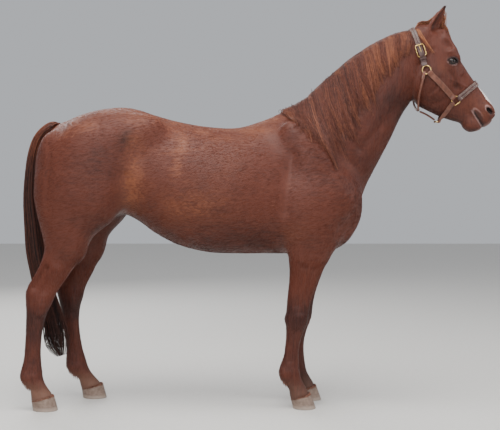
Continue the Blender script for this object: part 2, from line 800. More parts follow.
def halved(points, quads):
    """Each quad parted into four."""
    edges = np.sort(np.stack([quads, np.roll(quads, -1, 1)], 2).reshape(-1, 2), 1)
    keys, where = np.unique(edges[:, 0] * len(points) + edges[:, 1], return_inverse=True)
    pairs = np.stack([keys // len(points), keys % len(points)], 1)
    mid = len(points) + where.reshape(-1, 4)
    centre = (len(points) + len(keys) + np.arange(len(quads)))[:, None]
    made = np.concatenate([points, points[pairs].mean(1), points[quads].mean(1)])
    parts = [np.concatenate([quads[:, [i]], mid[:, [i]], centre, mid[:, [i - 1]]], 1) for i in range(4)]
    return made, np.concatenate(parts)


def settle(p, steps, rounds=3, most=6.0):
    """Moves each point straight onto the body, never by more than a few millimetres at once."""
    for _ in range(rounds):
        d = measure(p, steps)
        slope = slope_of(p, steps)
        step = d / np.maximum((slope**2).sum(1), 0.25)
        p = p - np.clip(step, -most, most)[:, None] * slope
    return p


def hollow_ears(p):
    """Presses the open face of each ear back into a cup."""
    p = p.copy()
    for ear in ears.values():
        share, b, o = ear.local(p)
        width, depth = ear.size(share)
        rim = np.clip(1 - (b / (0.84 * width)) ** 2, 0, 1) ** 0.7
        near = smooth(-0.02, 0.2, share) * smooth(1.0, 0.86, share)
        near *= (o > -0.25 * depth) & (np.abs(b) < width)
        near *= np.linalg.norm(p - ear.base, axis=1) < ear.length * 1.1
        p -= (1.42 * depth * rim * near * smooth(-0.25, 0.3, o / depth))[:, None] * ear.open
    return p


def fold_skin(p, normals):
    """Small folds round the eyes, along the lips, at the mouth's corners and round the nostrils."""
    lift = np.zeros(len(p))
    for seat in eye_seats.values():
        s, t, out = seat.local(p)
        around = np.hypot(s / 1.18, t)
        for radius, width, height, fade in EYE_FOLDS:
            lift += height * bump(around, radius, width) * smooth(*fade, t) * smooth(2, 10, out)
    u, out, v = face_measures(p)
    lips = smooth(452, 462, u) * smooth(1250, 1300, p[:, 2])
    lift += (1.6 * bump(v, -24, 4.5) + 1.8 * bump(v, -38, 5)) * lips
    lift -= 1.1 * bump(np.hypot(u - 452, v + 30), 11, 2.2) * smooth(440, 450, u) * (out > 30)
    lift += 2.2 * bump(np.hypot((u - NOSTRIL[0]) / 1.9, v - NOSTRIL[1]), 15, 4) * (out > 22)
    return p + lift[:, None] * normals


def away_from_line(spots, line):
    """How far flat points lie from a broken line."""
    near = np.full(len(spots), 1e9)
    for a, b in zip(line, line[1:]):
        a, b = np.array(a, float), np.array(b, float)
        t = np.clip(((spots - a) @ (b - a)) / ((b - a) @ (b - a)), 0, 1)
        near = np.minimum(near, np.linalg.norm(spots - a - t[:, None] * (b - a), axis=1))
    return near


def face_relief(p):
    """Veins, bone edges and small hollows on both sides of the face."""
    u, out, v = face_measures(p)
    flat = np.stack([u, v], 1)
    lift = np.zeros(len(p))
    for line, height, width in FACE_LINES:
        lift += height * bump(away_from_line(flat, line), 0, width)
    return lift * smooth(18, 34, out) * (p[:, 0] > 780) * (p[:, 2] > 1330)


def leg_relief(p):
    """Tendons, bones and veins of the legs, by height and share of a leg's depth."""
    lift = np.zeros(len(p))
    for name, leg in legs.items():
        back, front, half, middle = leg.edges(p[:, 2])
        beside = (p[:, 1] - middle) / half
        share = (p[:, 0] - back) / (front - back)
        near = (p[:, 2] < 800) & (np.abs(beside) < 1.5) & (share > -0.4) & (share < 1.4)
        for z, place, reach, height, width, flank in LEG_FORMS[kind_of(name)]:
            up = np.exp(-(((p[:, 2] - z) / reach) ** 4))
            edge = (flank - 0.25, flank) if flank >= 0 else (-flank, -flank - 0.25)
            lift += height * up * bump(share, place, width) * smooth(*edge, np.abs(beside)) * near
    return lift


def make_mesh(name, points, faces):
    """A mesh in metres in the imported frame, from plan millimetres."""
    mesh = bpy.data.meshes.new(name)
    mesh.vertices.add(len(points))
    mesh.vertices.foreach_set("co", ((points + SHIFT) * MM).astype(np.float32).ravel())
    size = faces.shape[1]
    mesh.loops.add(faces.size)
    mesh.loops.foreach_set("vertex_index", faces.astype(np.int32).ravel())
    mesh.polygons.add(len(faces))
    mesh.polygons.foreach_set("loop_start", np.arange(0, faces.size, size, dtype=np.int32))
    mesh.polygons.foreach_set("loop_total", np.full(len(faces), size, np.int32))
    mesh.update(calc_edges=True)
    mesh.polygons.foreach_set("use_smooth", np.ones(len(faces), bool))
    return mesh


def add_object(name, mesh):
    piece = bpy.data.objects.new(name, mesh)
    bpy.context.scene.collection.objects.link(piece)
    return piece


def write_attribute(mesh, name, values, kind="FLOAT"):
    """Keeps one number or one vector for each point of a mesh."""
    made = mesh.attributes.new(name, kind, "POINT")
    made.data.foreach_set("value" if kind == "FLOAT" else "vector", np.asarray(values, np.float32).ravel())


def frame_shift():
    """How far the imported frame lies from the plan, from the right eye's place in both."""
    low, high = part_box("eye_right")
    middle = (np.array(low) + np.array(high)) / 2 / MM
    return np.array([middle[0] - eye_seats[-1].middle[0], 0, 0])


SHIFT = frame_shift()


def skin_net():
    """The skin's points and quads, and the steps of the form they lie on."""
    count = np.ceil((NET_HIGH - NET_LOW) / CELL).astype(int) + 1
    low = HEAD_CENTRE + NET_LOW
    axes = [low[i] + CELL * np.arange(count[i]) for i in range(3)]
    grid = np.stack(np.meshgrid(*axes, indexing="ij"), -1).reshape(-1, 3)
    value = measure(spread(grid), plain_steps).reshape(count)
    points, quads = net_points(value, low, CELL)
    points = spread(points)
    points = settle(points, plain_steps, rounds=1)
    points, quads = halved(points, quads)
    steps = fine_steps()
    points = settle(points, steps, rounds=3)
    return points, quads, steps


def lie_of_coat(p, normals):
    """The way the hair lies at each point, along the skin."""
    x, z = p[:, 0], p[:, 2]

    def turned(way, share, other):
        return way * (1 - share[:, None]) + share[:, None] * np.array(other)

    on_neck = smooth(300, 480, x) * smooth(1000, 1150, z)
    on_head = smooth(-30, 40, face_measures(p)[0]) * smooth(1250, 1300, z) * smooth(700, 790, x)
    way = np.array([-1.0, 0.0, -0.28]) + on_neck[:, None] * np.array([0.45, 0, -0.75])
    way = turned(way, smooth(900, 680, z), [-0.12, 0, -1.0])
    way = turned(way, on_head, HEAD_ALONG)
    for ear in ears.values():
        share, b, o = ear.local(p)
        way = turned(way, smooth(0.1, 0.25, share) * (np.hypot(b, o) < EAR_REACH), ear.axis)
    way -= normals * (way * normals).sum(1, keepdims=True)
    return unit(way)


def unwrap(p):
    """A flat place for each point of the skin: along the body or down a leg, and round it."""
    spine = np.interp(p[:, 0], [-1180, 300, 1240], [0.0, 0.55, 0.97])
    middle = np.interp(p[:, 0], [-1060, 300, 700, 1100], [1190, 1130, 1600, 1560])
    round_body = np.arctan2(p[:, 1], p[:, 2] - middle) / (2 * math.pi) + 0.5
    flat = np.stack([spine, 0.02 + 0.46 * round_body, np.zeros(len(p))], 1)
    for number, leg in enumerate(legs.values()):
        back, front, half, line = leg.edges(p[:, 2])
        turn = np.arctan2(p[:, 1] - line, p[:, 0] - (back + front) / 2) / (2 * math.pi) + 0.5
        own = (p[:, 2] < LEG_TOP) & (np.abs(p[:, 1] - line) < half * 1.6)
        own &= (p[:, 0] > back - 60) & (p[:, 0] < front + 60)
        place = np.stack([0.02 + 0.23 * number + 0.2 * turn, 0.52 + 0.46 * p[:, 2] / LEG_TOP, 0 * turn], 1)
        flat = np.where(own[:, None], place, flat)
    return flat


def on_the_head(p):
    return (p[:, 0] > 780) & (p[:, 2] > 1300)


def zones_at(first, second, zones):
    """Soft round patches: the sum of the zones' strengths at each place."""
    return sum(strength * bump(first, a, reach_a) * bump(second, b, reach_b)
               for (a, b), (reach_a, reach_b), strength in zones)


def white_marks(p):
    """How far inside the star or the stripe each point lies."""
    u, out, v = face_measures(p)
    ragged = 4 * np.sin(u / 7) + 3 * np.sin(p[:, 1] / 5)
    star = 40 * (1 - np.hypot((u - 160 + 0.3 * p[:, 1]) / 40, out / 37)) + ragged
    stripe = np.interp(u, *zip(*STRIPE)) - out
    clear = np.hypot((u - NOSTRIL[0]) / 2.1, v - NOSTRIL[1]) - 15
    stripe = np.where((u > 170) & (u < 556), np.minimum(stripe, clear), OUTSIDE)
    return np.where(on_the_head(p) & (v > 8), np.maximum(star, stripe), OUTSIDE)


def skin_marks(p):
    """Dark bare skin, and its pale rims: at the eyes, nostrils, lips and in the ears."""
    u, out, v = face_measures(p)
    on_head = on_the_head(p)
    side = (out > 18) * on_head
    nostril = np.hypot((u - NOSTRIL[0]) / 2.1, v - NOSTRIL[1])
    lip = smooth(450, 462, u) * on_head * (p[:, 2] > 1380)
    corner = np.hypot((u - 497) / 38, (v + 21) / 14.5)
    bare = [smooth(15, 7, nostril) * (out > 8) * on_head, 0.9 * smooth(12, 3, np.abs(v + 31)) * lip,
            0.5 * smooth(1, 0.6, corner) * side]
    pale = [smooth(4.2, 1.2, np.abs(v + 36)) * lip * smooth(585, 560, u),
            smooth(4.5, 1.5, np.abs(nostril - 13.5)) * (out > 22) * smooth(505, 488, u) * on_head,
            0.6 * smooth(0.22, 0.06, np.abs(corner - 1.06)) * smooth(530, 480, u) * side,
            0.75 * smooth(548, 566, u) * on_head]
    for seat in eye_seats.values():
        s, t, reach = seat.local(p)
        bare.append(smooth(26, 17, np.hypot(s / 1.3, t)) * (reach > 0))
        rim = smooth(4.5, 1.5, np.abs(np.hypot(s / 1.35, t) - 19))
        pale.append(0.5 * rim * smooth(-4, -9, t) * (reach > 0))
    for ear in ears.values():
        share, b, o = ear.local(p)
        width, depth = ear.size(share)
        cup = smooth(0.35, 0.1, np.abs(b) / width) * (o > -0.6 * depth) * (o < 0.3 * depth)
        bare.append(0.55 * (np.hypot(b, o) < EAR_REACH) * smooth(0.05, 0.2, share) * cup)
    return np.max(bare, axis=0), np.max(pale, axis=0)


def hair_tone(p, normals):
    """How light the hair is: lighter on the croup and below the fetlocks, darker below and on the legs."""
    u, _, v = face_measures(p)
    x, z = p[:, 0], p[:, 2]
    tone = -0.12 + 0.34 * smooth(0.2, 0.95, normals[:, 2]) * smooth(1150, 1350, z) * smooth(500, 200, x)
    tone -= 0.26 * smooth(640, 430, z) + 0.28 * bump(z, 470, 60)
    tone += 0.22 * smooth(190, 90, z) * np.where(x > 0, -0.9, 1)
    tone -= 0.35 * smooth(-0.2, -0.9, normals[:, 2]) * smooth(700, 760, z)
    tone -= 0.22 * smooth(330, 520, x) * smooth(1000, 1200, z) * smooth(880, 700, x)
    tone += zones_at(x, z, TONE_ZONES) + zones_at(u, v, FACE_TONE_ZONES) * on_the_head(p)
    for ear in ears.values():
        share, b, o = ear.local(p)
        tone -= 0.7 * (np.hypot(b, o) < EAR_REACH) * smooth(0.05, 0.2, share) * smooth(0.75, 1.0, share)
    return tone


def markings(p, normals):
    """The coat's own marks at each point: white, dark bare skin, pale rims, light and dark hair."""
    u, out, v = face_measures(p)
    bare, pale = skin_marks(p)
    muzzle = 0.34 * smooth(360, 430, u) * smooth(560, 500, u) * smooth(10, 30, out)
    ginger = (muzzle + zones_at(u, v, FACE_GINGER_ZONES)) * on_the_head(p)
    ginger += zones_at(p[:, 0], p[:, 2], GINGER_ZONES)
    dust = 0.75 * smooth(170, 70, p[:, 2]) * np.where(p[:, 0] > 0, 0.5, 1)
    return {"white": white_marks(p), "bare": bare, "pale": pale, "tone": hair_tone(p, normals),
            "ginger": ginger, "dust": dust}


def coat_depth(p):
    """How long the hair is against the barrel's, at each point."""
    u, _, v = face_measures(p)
    on_head = smooth(20, 70, u) * smooth(1300, 1350, p[:, 2]) * smooth(780, 840, p[:, 0])
    size = (1 - 0.62 * on_head) * (1 - 0.5 * smooth(760, 420, p[:, 2]))
    size *= (1 - 0.35 * on_head * smooth(380, 480, u)) * (1 - 0.6 * smooth(1890, 1970, p[:, 2]))
    under_jaw = on_head * smooth(-90, -140, v) * smooth(500, 440, u)
    return size * (1 + 0.9 * under_jaw)


def coat_rise(p, normals):
    """How far the tufts stand off, against flat ones: more where the coat breaks the body's outline."""
    u, _, v = face_measures(p)
    rise = 1 + 0.5 * smooth(-0.5, -0.95, normals[:, 2]) * smooth(740, 780, p[:, 2])
    rise += 0.9 * smooth(-60, -130, v) * smooth(820, 860, p[:, 0]) * (p[:, 2] > 1380)
    rise += 0.9 * smooth(-0.6, -0.95, normals[:, 0]) * smooth(720, 640, p[:, 2])
    rise += 0.35 * smooth(0.8, 0.97, normals[:, 0])
    rise *= 1 - 0.5 * smooth(400, 480, u) * (p[:, 2] > 1350) * (p[:, 0] > 900)
    return np.where(p[:, 2] > 1890, 0.7, rise)


# ---- trees of nodes


class Value:
    """A number that a tree works out: a sum with it adds a node."""

    def __init__(self, plan, socket):
        self.plan, self.socket = plan, socket

    def worked(self, way, *numbers):
        return self.plan.node("ShaderNodeMath", {"operation": way}, dict(enumerate(numbers)))

    def __add__(self, other):
        return self.worked("ADD", self, other)

    def __sub__(self, other):
        return self.worked("SUBTRACT", self, other)

    def __rsub__(self, other):
        return self.worked("SUBTRACT", other, self)

    def __mul__(self, other):
        return self.worked("MULTIPLY", self, other)

    def root(self):
        return self.worked("SQRT", self)

    __radd__, __rmul__ = __add__, __mul__


class Plan:
    """A tree of nodes, in a material or for geometry."""

    def __init__(self, tree):
        self.tree = tree
        tree.nodes.clear()

    def node(self, kind, settings=None, sockets=None, out=0):
        made = self.tree.nodes.new(kind)
        for key, value in (settings or {}).items():
            setattr(made, key, value)
        for key, value in (sockets or {}).items():
            if isinstance(value, Value):
                self.tree.links.new(value.socket, made.inputs[key])
            else:
                made.inputs[key].default_value = value
        return Value(self, made.outputs[out]) if made.outputs else made

    def added(self, first, second):
        return self.node("ShaderNodeVectorMath", {"operation": "ADD"}, {0: first, 1: second})

    def scaled(self, vector, factor):
        return self.node("ShaderNodeVectorMath", {"operation": "SCALE"}, {0: vector, "Scale": factor})


def paint(red, green, blue):
    """A colour from its screen values, as a material takes it."""
    parts = [c / 255 for c in (red, green, blue)]
    return tuple(c / 12.92 if c <= 0.04045 else ((c + 0.055) / 1.055) ** 2.4 for c in parts) + (1.0,)


class Finish(Plan):
    """A material, built up from patterns in metres."""

    def __init__(self, name):
        self.material = bpy.data.materials.new(name)
        self.material.use_nodes = True
        super().__init__(self.material.node_tree)
        self.place = self.node("ShaderNodeTexCoord", out=3)

    def attribute(self, name):
        return self.node("ShaderNodeAttribute", {"attribute_name": name}, out=2)

    def noise(self, scale, detail=2.0, stretch=(1, 1, 1)):
        """Soft blotches about 1/scale metres across, drawn out where the stretch is small."""
        at = self.node("ShaderNodeMapping", {}, {"Vector": self.place, "Scale": stretch})
        return self.node("ShaderNodeTexNoise", {}, {"Vector": at, "Scale": scale, "Detail": detail})

    def step(self, value, low, high):
        """From 0 at low to 1 at high, softly."""
        settings = {"interpolation_type": "SMOOTHSTEP"}
        return self.node("ShaderNodeMapRange", settings, {0: value, 1: low, 2: high, 3: 0.0, 4: 1.0})

    def mix(self, a, b, share):
        return self.node("ShaderNodeMix", {"data_type": "RGBA"}, {0: share, 6: a, 7: b}, out=2)

    def finish(self, color, rough, height=None, depth=0.001, **constants):
        """Lays the colour, roughness and relief on the surface; the rest are plain numbers."""
        sockets = {"Base Color": color, "Roughness": rough}
        if height is not None:
            sockets["Normal"] = self.node("ShaderNodeBump", {}, {"Height": height, "Distance": depth})
        sockets.update({key.replace("_", " "): value for key, value in constants.items()})
        surface = self.node("ShaderNodeBsdfPrincipled", {}, sockets)
        self.node("ShaderNodeOutputMaterial", {}, {"Surface": surface})
        return self.material


# ---- finishes of the hair

DEEP = paint(50, 21, 15)
CHESTNUT = paint(90, 44, 31)
LIGHT = paint(146, 89, 64)
GINGER = paint(150, 90, 58)
STAR_WHITE = paint(222, 212, 206)
BARE_DARK = paint(40, 31, 31)
BARE_PALE = paint(150, 116, 110)
DUST = paint(128, 100, 84)


def coat_finish(name, tufts):
    """Chestnut hair with its marks; the skin also carries the short hair's relief."""
    f = Finish(name)
    broad = f.noise(3.2, 3)
    patches = f.noise(14, 3, (0.7, 1, 1))
    along = f.noise(150, 3, (0.12, 1, 0.6))
    down = f.noise(150, 3, (1, 1, 0.1))
    upright = f.step(f.attribute("upright"), 0.3, 0.7)
    streak = along * (1 - upright) + down * upright
    tone = f.attribute("tone") + (broad - 0.5) * 0.9 + (patches - 0.5) * 0.5 + (streak - 0.5) * 0.9
    color = f.mix(DEEP, CHESTNUT, f.step(tone, -0.9, 0.05))
    color = f.mix(color, LIGHT, f.step(tone, 0.0, 0.95))
    fleck = f.noise(210, 3, (0.25, 1, 0.4))
    shed = f.attribute("ginger") * (0.55 + (fleck - 0.5) * 1.3 + (patches - 0.5) * 1.1 + (broad - 0.5) * 0.8)
    color = f.mix(color, GINGER, f.step(shed, 0.0, 0.95) * 0.7)
    color = f.mix(color, DUST, f.attribute("dust") * (0.35 + patches * 0.6))
    color = f.mix(color, BARE_DARK, f.attribute("bare"))
    color = f.mix(color, BARE_PALE, f.attribute("pale") * (0.45 + patches * 0.6))
    white = f.attribute("white") + (f.noise(220, 3, (1, 1, 0.4)) - 0.5) * 14
    color = f.mix(color, STAR_WHITE, f.step(white, -1.5, 1.5))
    rough = 0.5 + (patches - 0.5) * 0.2
    if tufts:
        return f.finish(color, rough + 0.12, Specular_IOR_Level=0.18)
    hair = f.noise(700, 2, (0.1, 1, 0.5)) * (1 - upright) + f.noise(700, 2, (1, 1, 0.1)) * upright
    height = hair * (1 - f.attribute("bare") * 0.7) + f.noise(1400, 1) * f.attribute("bare") * 0.5
    return f.finish(color, rough, height, 0.0012, Specular_IOR_Level=0.3)


def strand_finish(name, dark, middle, light, rough=0.5):
    """Long hair: each lock has its own tone, and each strand is streaked along its length."""
    f = Finish(name)
    along = f.attribute("along")
    tone = f.attribute("shade") + (f.noise(60, 2) - 0.5) * 0.5 + along * 0.18
    color = f.mix(dark, middle, f.step(tone, 0.0, 0.5))
    color = f.mix(color, light, f.step(tone, 0.5, 1.05))
    return f.finish(color, rough + (f.noise(30) - 0.5) * 0.15, Specular_IOR_Level=0.35)


# ---- growing pieces with Geometry Nodes


class Growth(Plan):
    """A tree for geometry, with named inputs."""

    def __init__(self, name, **inputs):
        group = bpy.data.node_groups.new(name, "GeometryNodeTree")
        super().__init__(group)
        group.interface.new_socket("Geometry", in_out="OUTPUT", socket_type="NodeSocketGeometry")
        group.interface.new_socket("Body", in_out="INPUT", socket_type="NodeSocketGeometry")
        for label, kind in inputs.items():
            group.interface.new_socket(label, in_out="INPUT", socket_type="NodeSocket" + kind)
        self.start = group.nodes.new("NodeGroupInput")

    def given(self, label):
        return Value(self, self.start.outputs[label])

    def attribute(self, name, kind="FLOAT"):
        return self.node("GeometryNodeInputNamedAttribute", {"data_type": kind}, {"Name": name})

    def store(self, geometry, name, value, kind="FLOAT", domain="POINT"):
        sockets = {"Geometry": geometry, "Name": name, "Value": value}
        return self.node("GeometryNodeStoreNamedAttribute", {"data_type": kind, "domain": domain}, sockets)

    def random(self, low, high, seed, kind="FLOAT"):
        first = 0 if kind == "FLOAT_VECTOR" else 2
        sockets = {first: low, first + 1: high, "Seed": seed}
        return self.node("FunctionNodeRandomValue", {"data_type": kind}, sockets, out=first // 2)

    def patch(self, geometry):
        """Gives each tuft or strand its own small round place on the body's unwrap."""
        spread_out = self.scaled(self.attribute("patch", "FLOAT_VECTOR"), PATCH)
        place = self.added(self.attribute("flat", "FLOAT_VECTOR"), spread_out)
        return self.store(geometry, "OFBake", place, "FLOAT2", "CORNER")

    def end(self, geometry):
        whole = self.node("GeometryNodeRealizeInstances", {}, {"Geometry": geometry})
        done = self.node("GeometryNodeSetMaterial", {}, {"Geometry": whole, "Material": self.given("Finish")})
        self.node("NodeGroupOutput", {}, {"Geometry": done})

    def grow(self, name, base, **values):
        """The plain mesh that the tree makes from an object's mesh."""
        modifier = base.modifiers.new("growth", "NODES")
        modifier.node_group = self.tree
        for item in self.tree.interface.items_tree:
            if item.in_out == "INPUT" and item.name in values:
                modifier[item.identifier] = values[item.name]
        base.update_tag()
        seen = base.evaluated_get(bpy.context.evaluated_depsgraph_get())
        mesh = bpy.data.meshes.new_from_object(seen)
        mesh.name = name
        base.modifiers.remove(modifier)
        return add_object(name, mesh)


PATCH = 0.0015  # radius of a tuft's place on the unwrap
STRAND_SIDES = 3


def tuft_shape():
    """One thin tuft along +X: three sides that narrow to a point, flat on the skin, then lifted."""
    stations = [(0.0, 0.026, -0.03, 1.0), (0.45, 0.042, 0.012, 0.5)]
    points, patch = [], []
    for along, half, rise, out in stations:
        for turn, (side, up) in enumerate([(-1, 0), (1, 0), (0, 0.35)]):
            points.append((along, side * half, rise + up * half))
            angle = math.radians(120 * turn)
            patch.append((out * math.cos(angle), out * math.sin(angle), 0))
    points.append((1.0, 0.0, 0.055))
    patch.append((0, 0, 0))
    faces = [(0, 2, 1)]
    for i in range(3):
        j = (i + 1) % 3
        faces += [(i, j, 3 + j), (i, 3 + j, 3 + i), (3 + i, 3 + j, 6)]
    mesh = bpy.data.meshes.new("tuft")
    mesh.from_pydata(points, [], faces)
    write_attribute(mesh, "patch", patch, "FLOAT_VECTOR")
    return add_object("tuft", mesh)


def tuft_growth():
    """Tufts scattered over the skin: each leans along the lie of the coat, and rises where the coat does."""
    g = Growth("coat_tufts", Tuft="Object", Share="String", Count="Float", Size="Float", Seed="Int",
               Finish="Material")
    density = g.attribute(g.given("Share")) * g.given("Count")
    scatter = g.node("GeometryNodeDistributePointsOnFaces", {},
                     {"Mesh": g.given("Body"), "Density": density, "Seed": g.given("Seed")})
    normal = Value(g, scatter.socket.node.outputs["Normal"])
    wild = g.random((-0.16, -0.16, -0.16), (0.16, 0.16, 0.16), 3, "FLOAT_VECTOR")
    way = g.added(g.attribute("lie", "FLOAT_VECTOR"), wild)
    turn = g.node("FunctionNodeAxesToRotation", {"primary_axis": "Z", "secondary_axis": "X"},
                  {"Primary Axis": normal, "Secondary Axis": way})
    size = g.attribute("length") * g.given("Size") * g.random(0.7, 1.25, 5)
    lifted = size * g.attribute("rise") * g.random(0.6, 1.2, 6)
    size = g.node("ShaderNodeCombineXYZ", {}, {"X": size, "Y": size, "Z": lifted})
    tuft = g.node("GeometryNodeObjectInfo", {}, {"Object": g.given("Tuft")}, out=4)
    placed = g.node("GeometryNodeInstanceOnPoints", {},
                    {"Points": scatter, "Instance": tuft, "Rotation": turn, "Scale": size})
    whole = g.node("GeometryNodeRealizeInstances", {}, {"Geometry": placed})
    g.end(g.patch(whole))
    return g


def strand_growth():
    """Lines made into thin closed strands, as thick at each point as their mesh says."""
    g = Growth("strands", Sides="Int", Finish="Material")
    curve = g.node("GeometryNodeMeshToCurve", {}, {"Mesh": g.given("Body")})
    ring = g.node("GeometryNodeCurvePrimitiveCircle", {}, {"Resolution": g.given("Sides"), "Radius": 1.0})
    ring = g.store(ring, "turn", g.node("GeometryNodeInputPosition"), "FLOAT_VECTOR")
    thick = g.attribute("thick")
    tube = g.node("GeometryNodeCurveToMesh", {},
                  {"Curve": curve, "Profile Curve": ring, "Scale": thick, "Fill Caps": True})
    inward = g.scaled(g.attribute("turn", "FLOAT_VECTOR"), 1 - g.attribute("along") * 0.8)
    tube = g.store(tube, "patch", inward, "FLOAT_VECTOR")
    tube = g.node("GeometryNodeSetShadeSmooth", {}, {"Geometry": tube})
    g.end(g.patch(tube))
    return g


def add_lines(name, spots, edges):
    """Lines between points given in the plan's frame, as an object for a tree to grow from."""
    mesh = bpy.data.meshes.new(name)
    mesh.from_pydata(((spots + SHIFT) * MM).tolist(), edges, [])
    return add_object(name + "_lines", mesh)


def strand_lines(name, paths, thick, shade):
    """Strands as lines: paths are strands by points by three, the radii one for each point."""
    strands, count = paths.shape[:2]
    first = np.arange(strands)[:, None] * count + np.arange(count - 1)
    edges = np.stack([first, first + 1], 2).reshape(-1, 2)
    lines = add_lines(name, paths.reshape(-1, 3), edges.tolist())
    mesh = lines.data
    along = np.tile(np.linspace(0, 1, count), (strands, 1))
    write_attribute(mesh, "along", along)
    write_attribute(mesh, "thick", thick * MM)
    write_attribute(mesh, "shade", np.broadcast_to(shade[:, None], along.shape))
    write_attribute(mesh, "flat", np.repeat(unwrap(paths[:, 0]), count, 0), "FLOAT_VECTOR")
    return lines


def hair_piece(name, paths, ends, shade, finish, slot, rng, *nodes):
    """One piece of long hair: its strands' radii at root and tip, and their shades or the range of them."""
    strands, count = paths.shape[:2]
    share = smooth(0.55, 1.0, np.linspace(0, 1, count))
    thick = (ends[0] * (1 - share) + ends[1] * share) * rng.uniform(0.8, 1.2, (strands, 1))
    if isinstance(shade, tuple):
        shade = rng.uniform(*shade, strands)
    lines = strand_lines(name, paths, thick, shade)
    piece = strands_tree.grow(name, lines, Sides=STRAND_SIDES, Finish=finish)
    drop(lines)
    settle_piece(piece, slot, *nodes)


def drop(piece):
    mesh = piece.data
    bpy.data.objects.remove(piece)
    bpy.data.meshes.remove(mesh)


def settle_piece(piece, slot, *nodes):
    """The piece rides on the one body, takes its finish from a slot, and stands for its nodes."""
    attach(piece, "root")
    if nodes:
        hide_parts(*nodes)


# ---- skin and coat

points, quads, steps = skin_net()
normals = unit(slope_of(points, steps))


def groove_depth(p):
    """How deep the hollows between the muscles are at each point, on both sides."""
    deep = np.zeros(len(p))
    flat = np.stack([p[:, 0], p[:, 2]], 1)
    for line, depth, width in BODY_GROOVES:
        deep += depth * bump(away_from_line(flat, line), 0, width)
    return deep * smooth(30, 80, np.abs(p[:, 1]))


def tuck_into_hooves(p):
    """Draws the skin in under the top edge of each hoof, so that the horn covers it."""
    p = p.copy()
    for name, leg in legs.items():
        plan = HOOVES[kind_of(name)]
        middle = np.array([plan["middle"] + leg.lean(HOOF_HEEL), leg.edges(0)[3]])
        near = (p[:, 2] < 90) & (np.linalg.norm(p[:, :2] - middle, axis=1) < 130)
        back, front = plan["top"][:2]
        share = (p[:, 0] - middle[0] - back) / (front - back)
        top = HOOF_HEEL + (HOOF_TOE - HOOF_HEEL) * np.clip(share, 0, 1)
        inward = 0.2 * smooth(2, -10, p[:, 2] - top) * near
        p[:, :2] -= (p[:, :2] - middle) * inward[:, None]
        p[:, 2] = np.where(near, np.maximum(p[:, 2], 16), p[:, 2])
    return p


def coat_shares(p, bare):
    """How thickly the tufts of each coat piece stand at each point; none grow on bare skin."""
    x, z = p[:, 0], p[:, 2]
    closed = 1 - bare
    head = smooth(760, 800, x) * smooth(1340, 1360, z) * smooth(10, 40, face_measures(p)[0])
    leg = smooth(770, 740, z) * smooth(60, 80, z) * (1 - head)
    body = (1 - head) * smooth(745, 770, z)
    return {
        "share_head": head * closed,
        "share_forelegs": leg * (x > -300),
        "share_hind_legs": leg * (x < -300),
        "share_rear": body * smooth(-430, -450, x),
        "share_barrel": body * smooth(-450, -430, x) * smooth(150, 130, x),
        "share_fore": body * smooth(130, 150, x),
    }


lift = leg_relief(points) + face_relief(points) - groove_depth(points)
points = fold_skin(points + normals * lift[:, None], normals)
points = tuck_into_hooves(hollow_ears(points))

marks = markings(points, normals)
marks["length"] = coat_depth(points)
marks["rise"] = coat_rise(points, normals)
marks["upright"] = np.maximum(smooth(820, 620, points[:, 2]), smooth(420, 620, points[:, 0]) * 0.7)
marks.update(coat_shares(points, marks["bare"]))

skin_mesh = make_mesh("skin", points, quads)
for mark_name, values in marks.items():
    write_attribute(skin_mesh, mark_name, values)
write_attribute(skin_mesh, "lie", lie_of_coat(points, normals), "FLOAT_VECTOR")
write_attribute(skin_mesh, "flat", unwrap(points), "FLOAT_VECTOR")
skin = add_object("skin", skin_mesh)
skin_mesh.materials.append(coat_finish("short_coat", False))

tuft = tuft_shape()
tufts_tree = tuft_growth()
strands_tree = strand_growth()
tuft_hair = coat_finish("coat_tufts", True)
# Coat pieces: how many tufts grow on a square metre, and how long the longest are
COAT_PIECES = {
    "head": (46000.0, 0.021),
    "forelegs": (34000.0, 0.026),
    "hind_legs": (27000.0, 0.026),
    "rear": (12900.0, 0.022),
    "barrel": (13500.0, 0.022),
    "fore": (13500.0, 0.022),
}
for number, (part, (count, length)) in enumerate(COAT_PIECES.items()):
    coat_piece = tufts_tree.grow("coat_" + part, skin, Tuft=tuft, Share="share_" + part, Count=count,
                                 Size=length, Seed=SEED + number, Finish=tuft_hair)
    settle_piece(coat_piece, "coat")
drop(tuft)
UPPER_LEG = {"foreleg": "forearm_knee", "hind_leg": "thigh_hock"}
FLESH = ["head", "neck", "trunk", "ear_right", "ear_left"]
for leg_name in LEGS:
    FLESH += [f"{leg_name}_{UPPER_LEG[kind_of(leg_name)]}", f"{leg_name}_cannon"]
settle_piece(skin, "coat", *FLESH)

# ---- mane, forelock and tail

COAT = 3.0  # the coat's depth, from the skin to the hair's outside

# Along and height of the mane's root on the crest, then of its hem, from the withers to the poll
MANE = [
    [150, 1492, 185, 1400],
    [225, 1527, 300, 1300],
    [300, 1590, 412, 1206],
    [380, 1662, 470, 1340],
    [470, 1733, 545, 1448],
    [560, 1794, 600, 1560],
    [660, 1850, 672, 1690],
    [752, 1884, 742, 1726],
]
MANE_POINTS = 16  # points along each strand
# The mane's layers: locks, strands in each, how far they lie over the crest, how long they are, their nodes
MANE_LAYERS = {
    "mane_under": (150, 11, (3, 7), (0.8, 0.97), []),
    "mane_over": (90, 23, (6, 14), (0.72, 1.07), ["mane"]),
}
# Along and height of the forelock's middle, and of the lock behind each ear, from their roots
FORELOCK = [(798, 1896), (840, 1907), (885, 1903), (925, 1876), (962, 1832), (996, 1778)]
CHEEK_LOCK = [(806, 1886), (818, 1855), (838, 1822), (862, 1789), (882, 1762)]
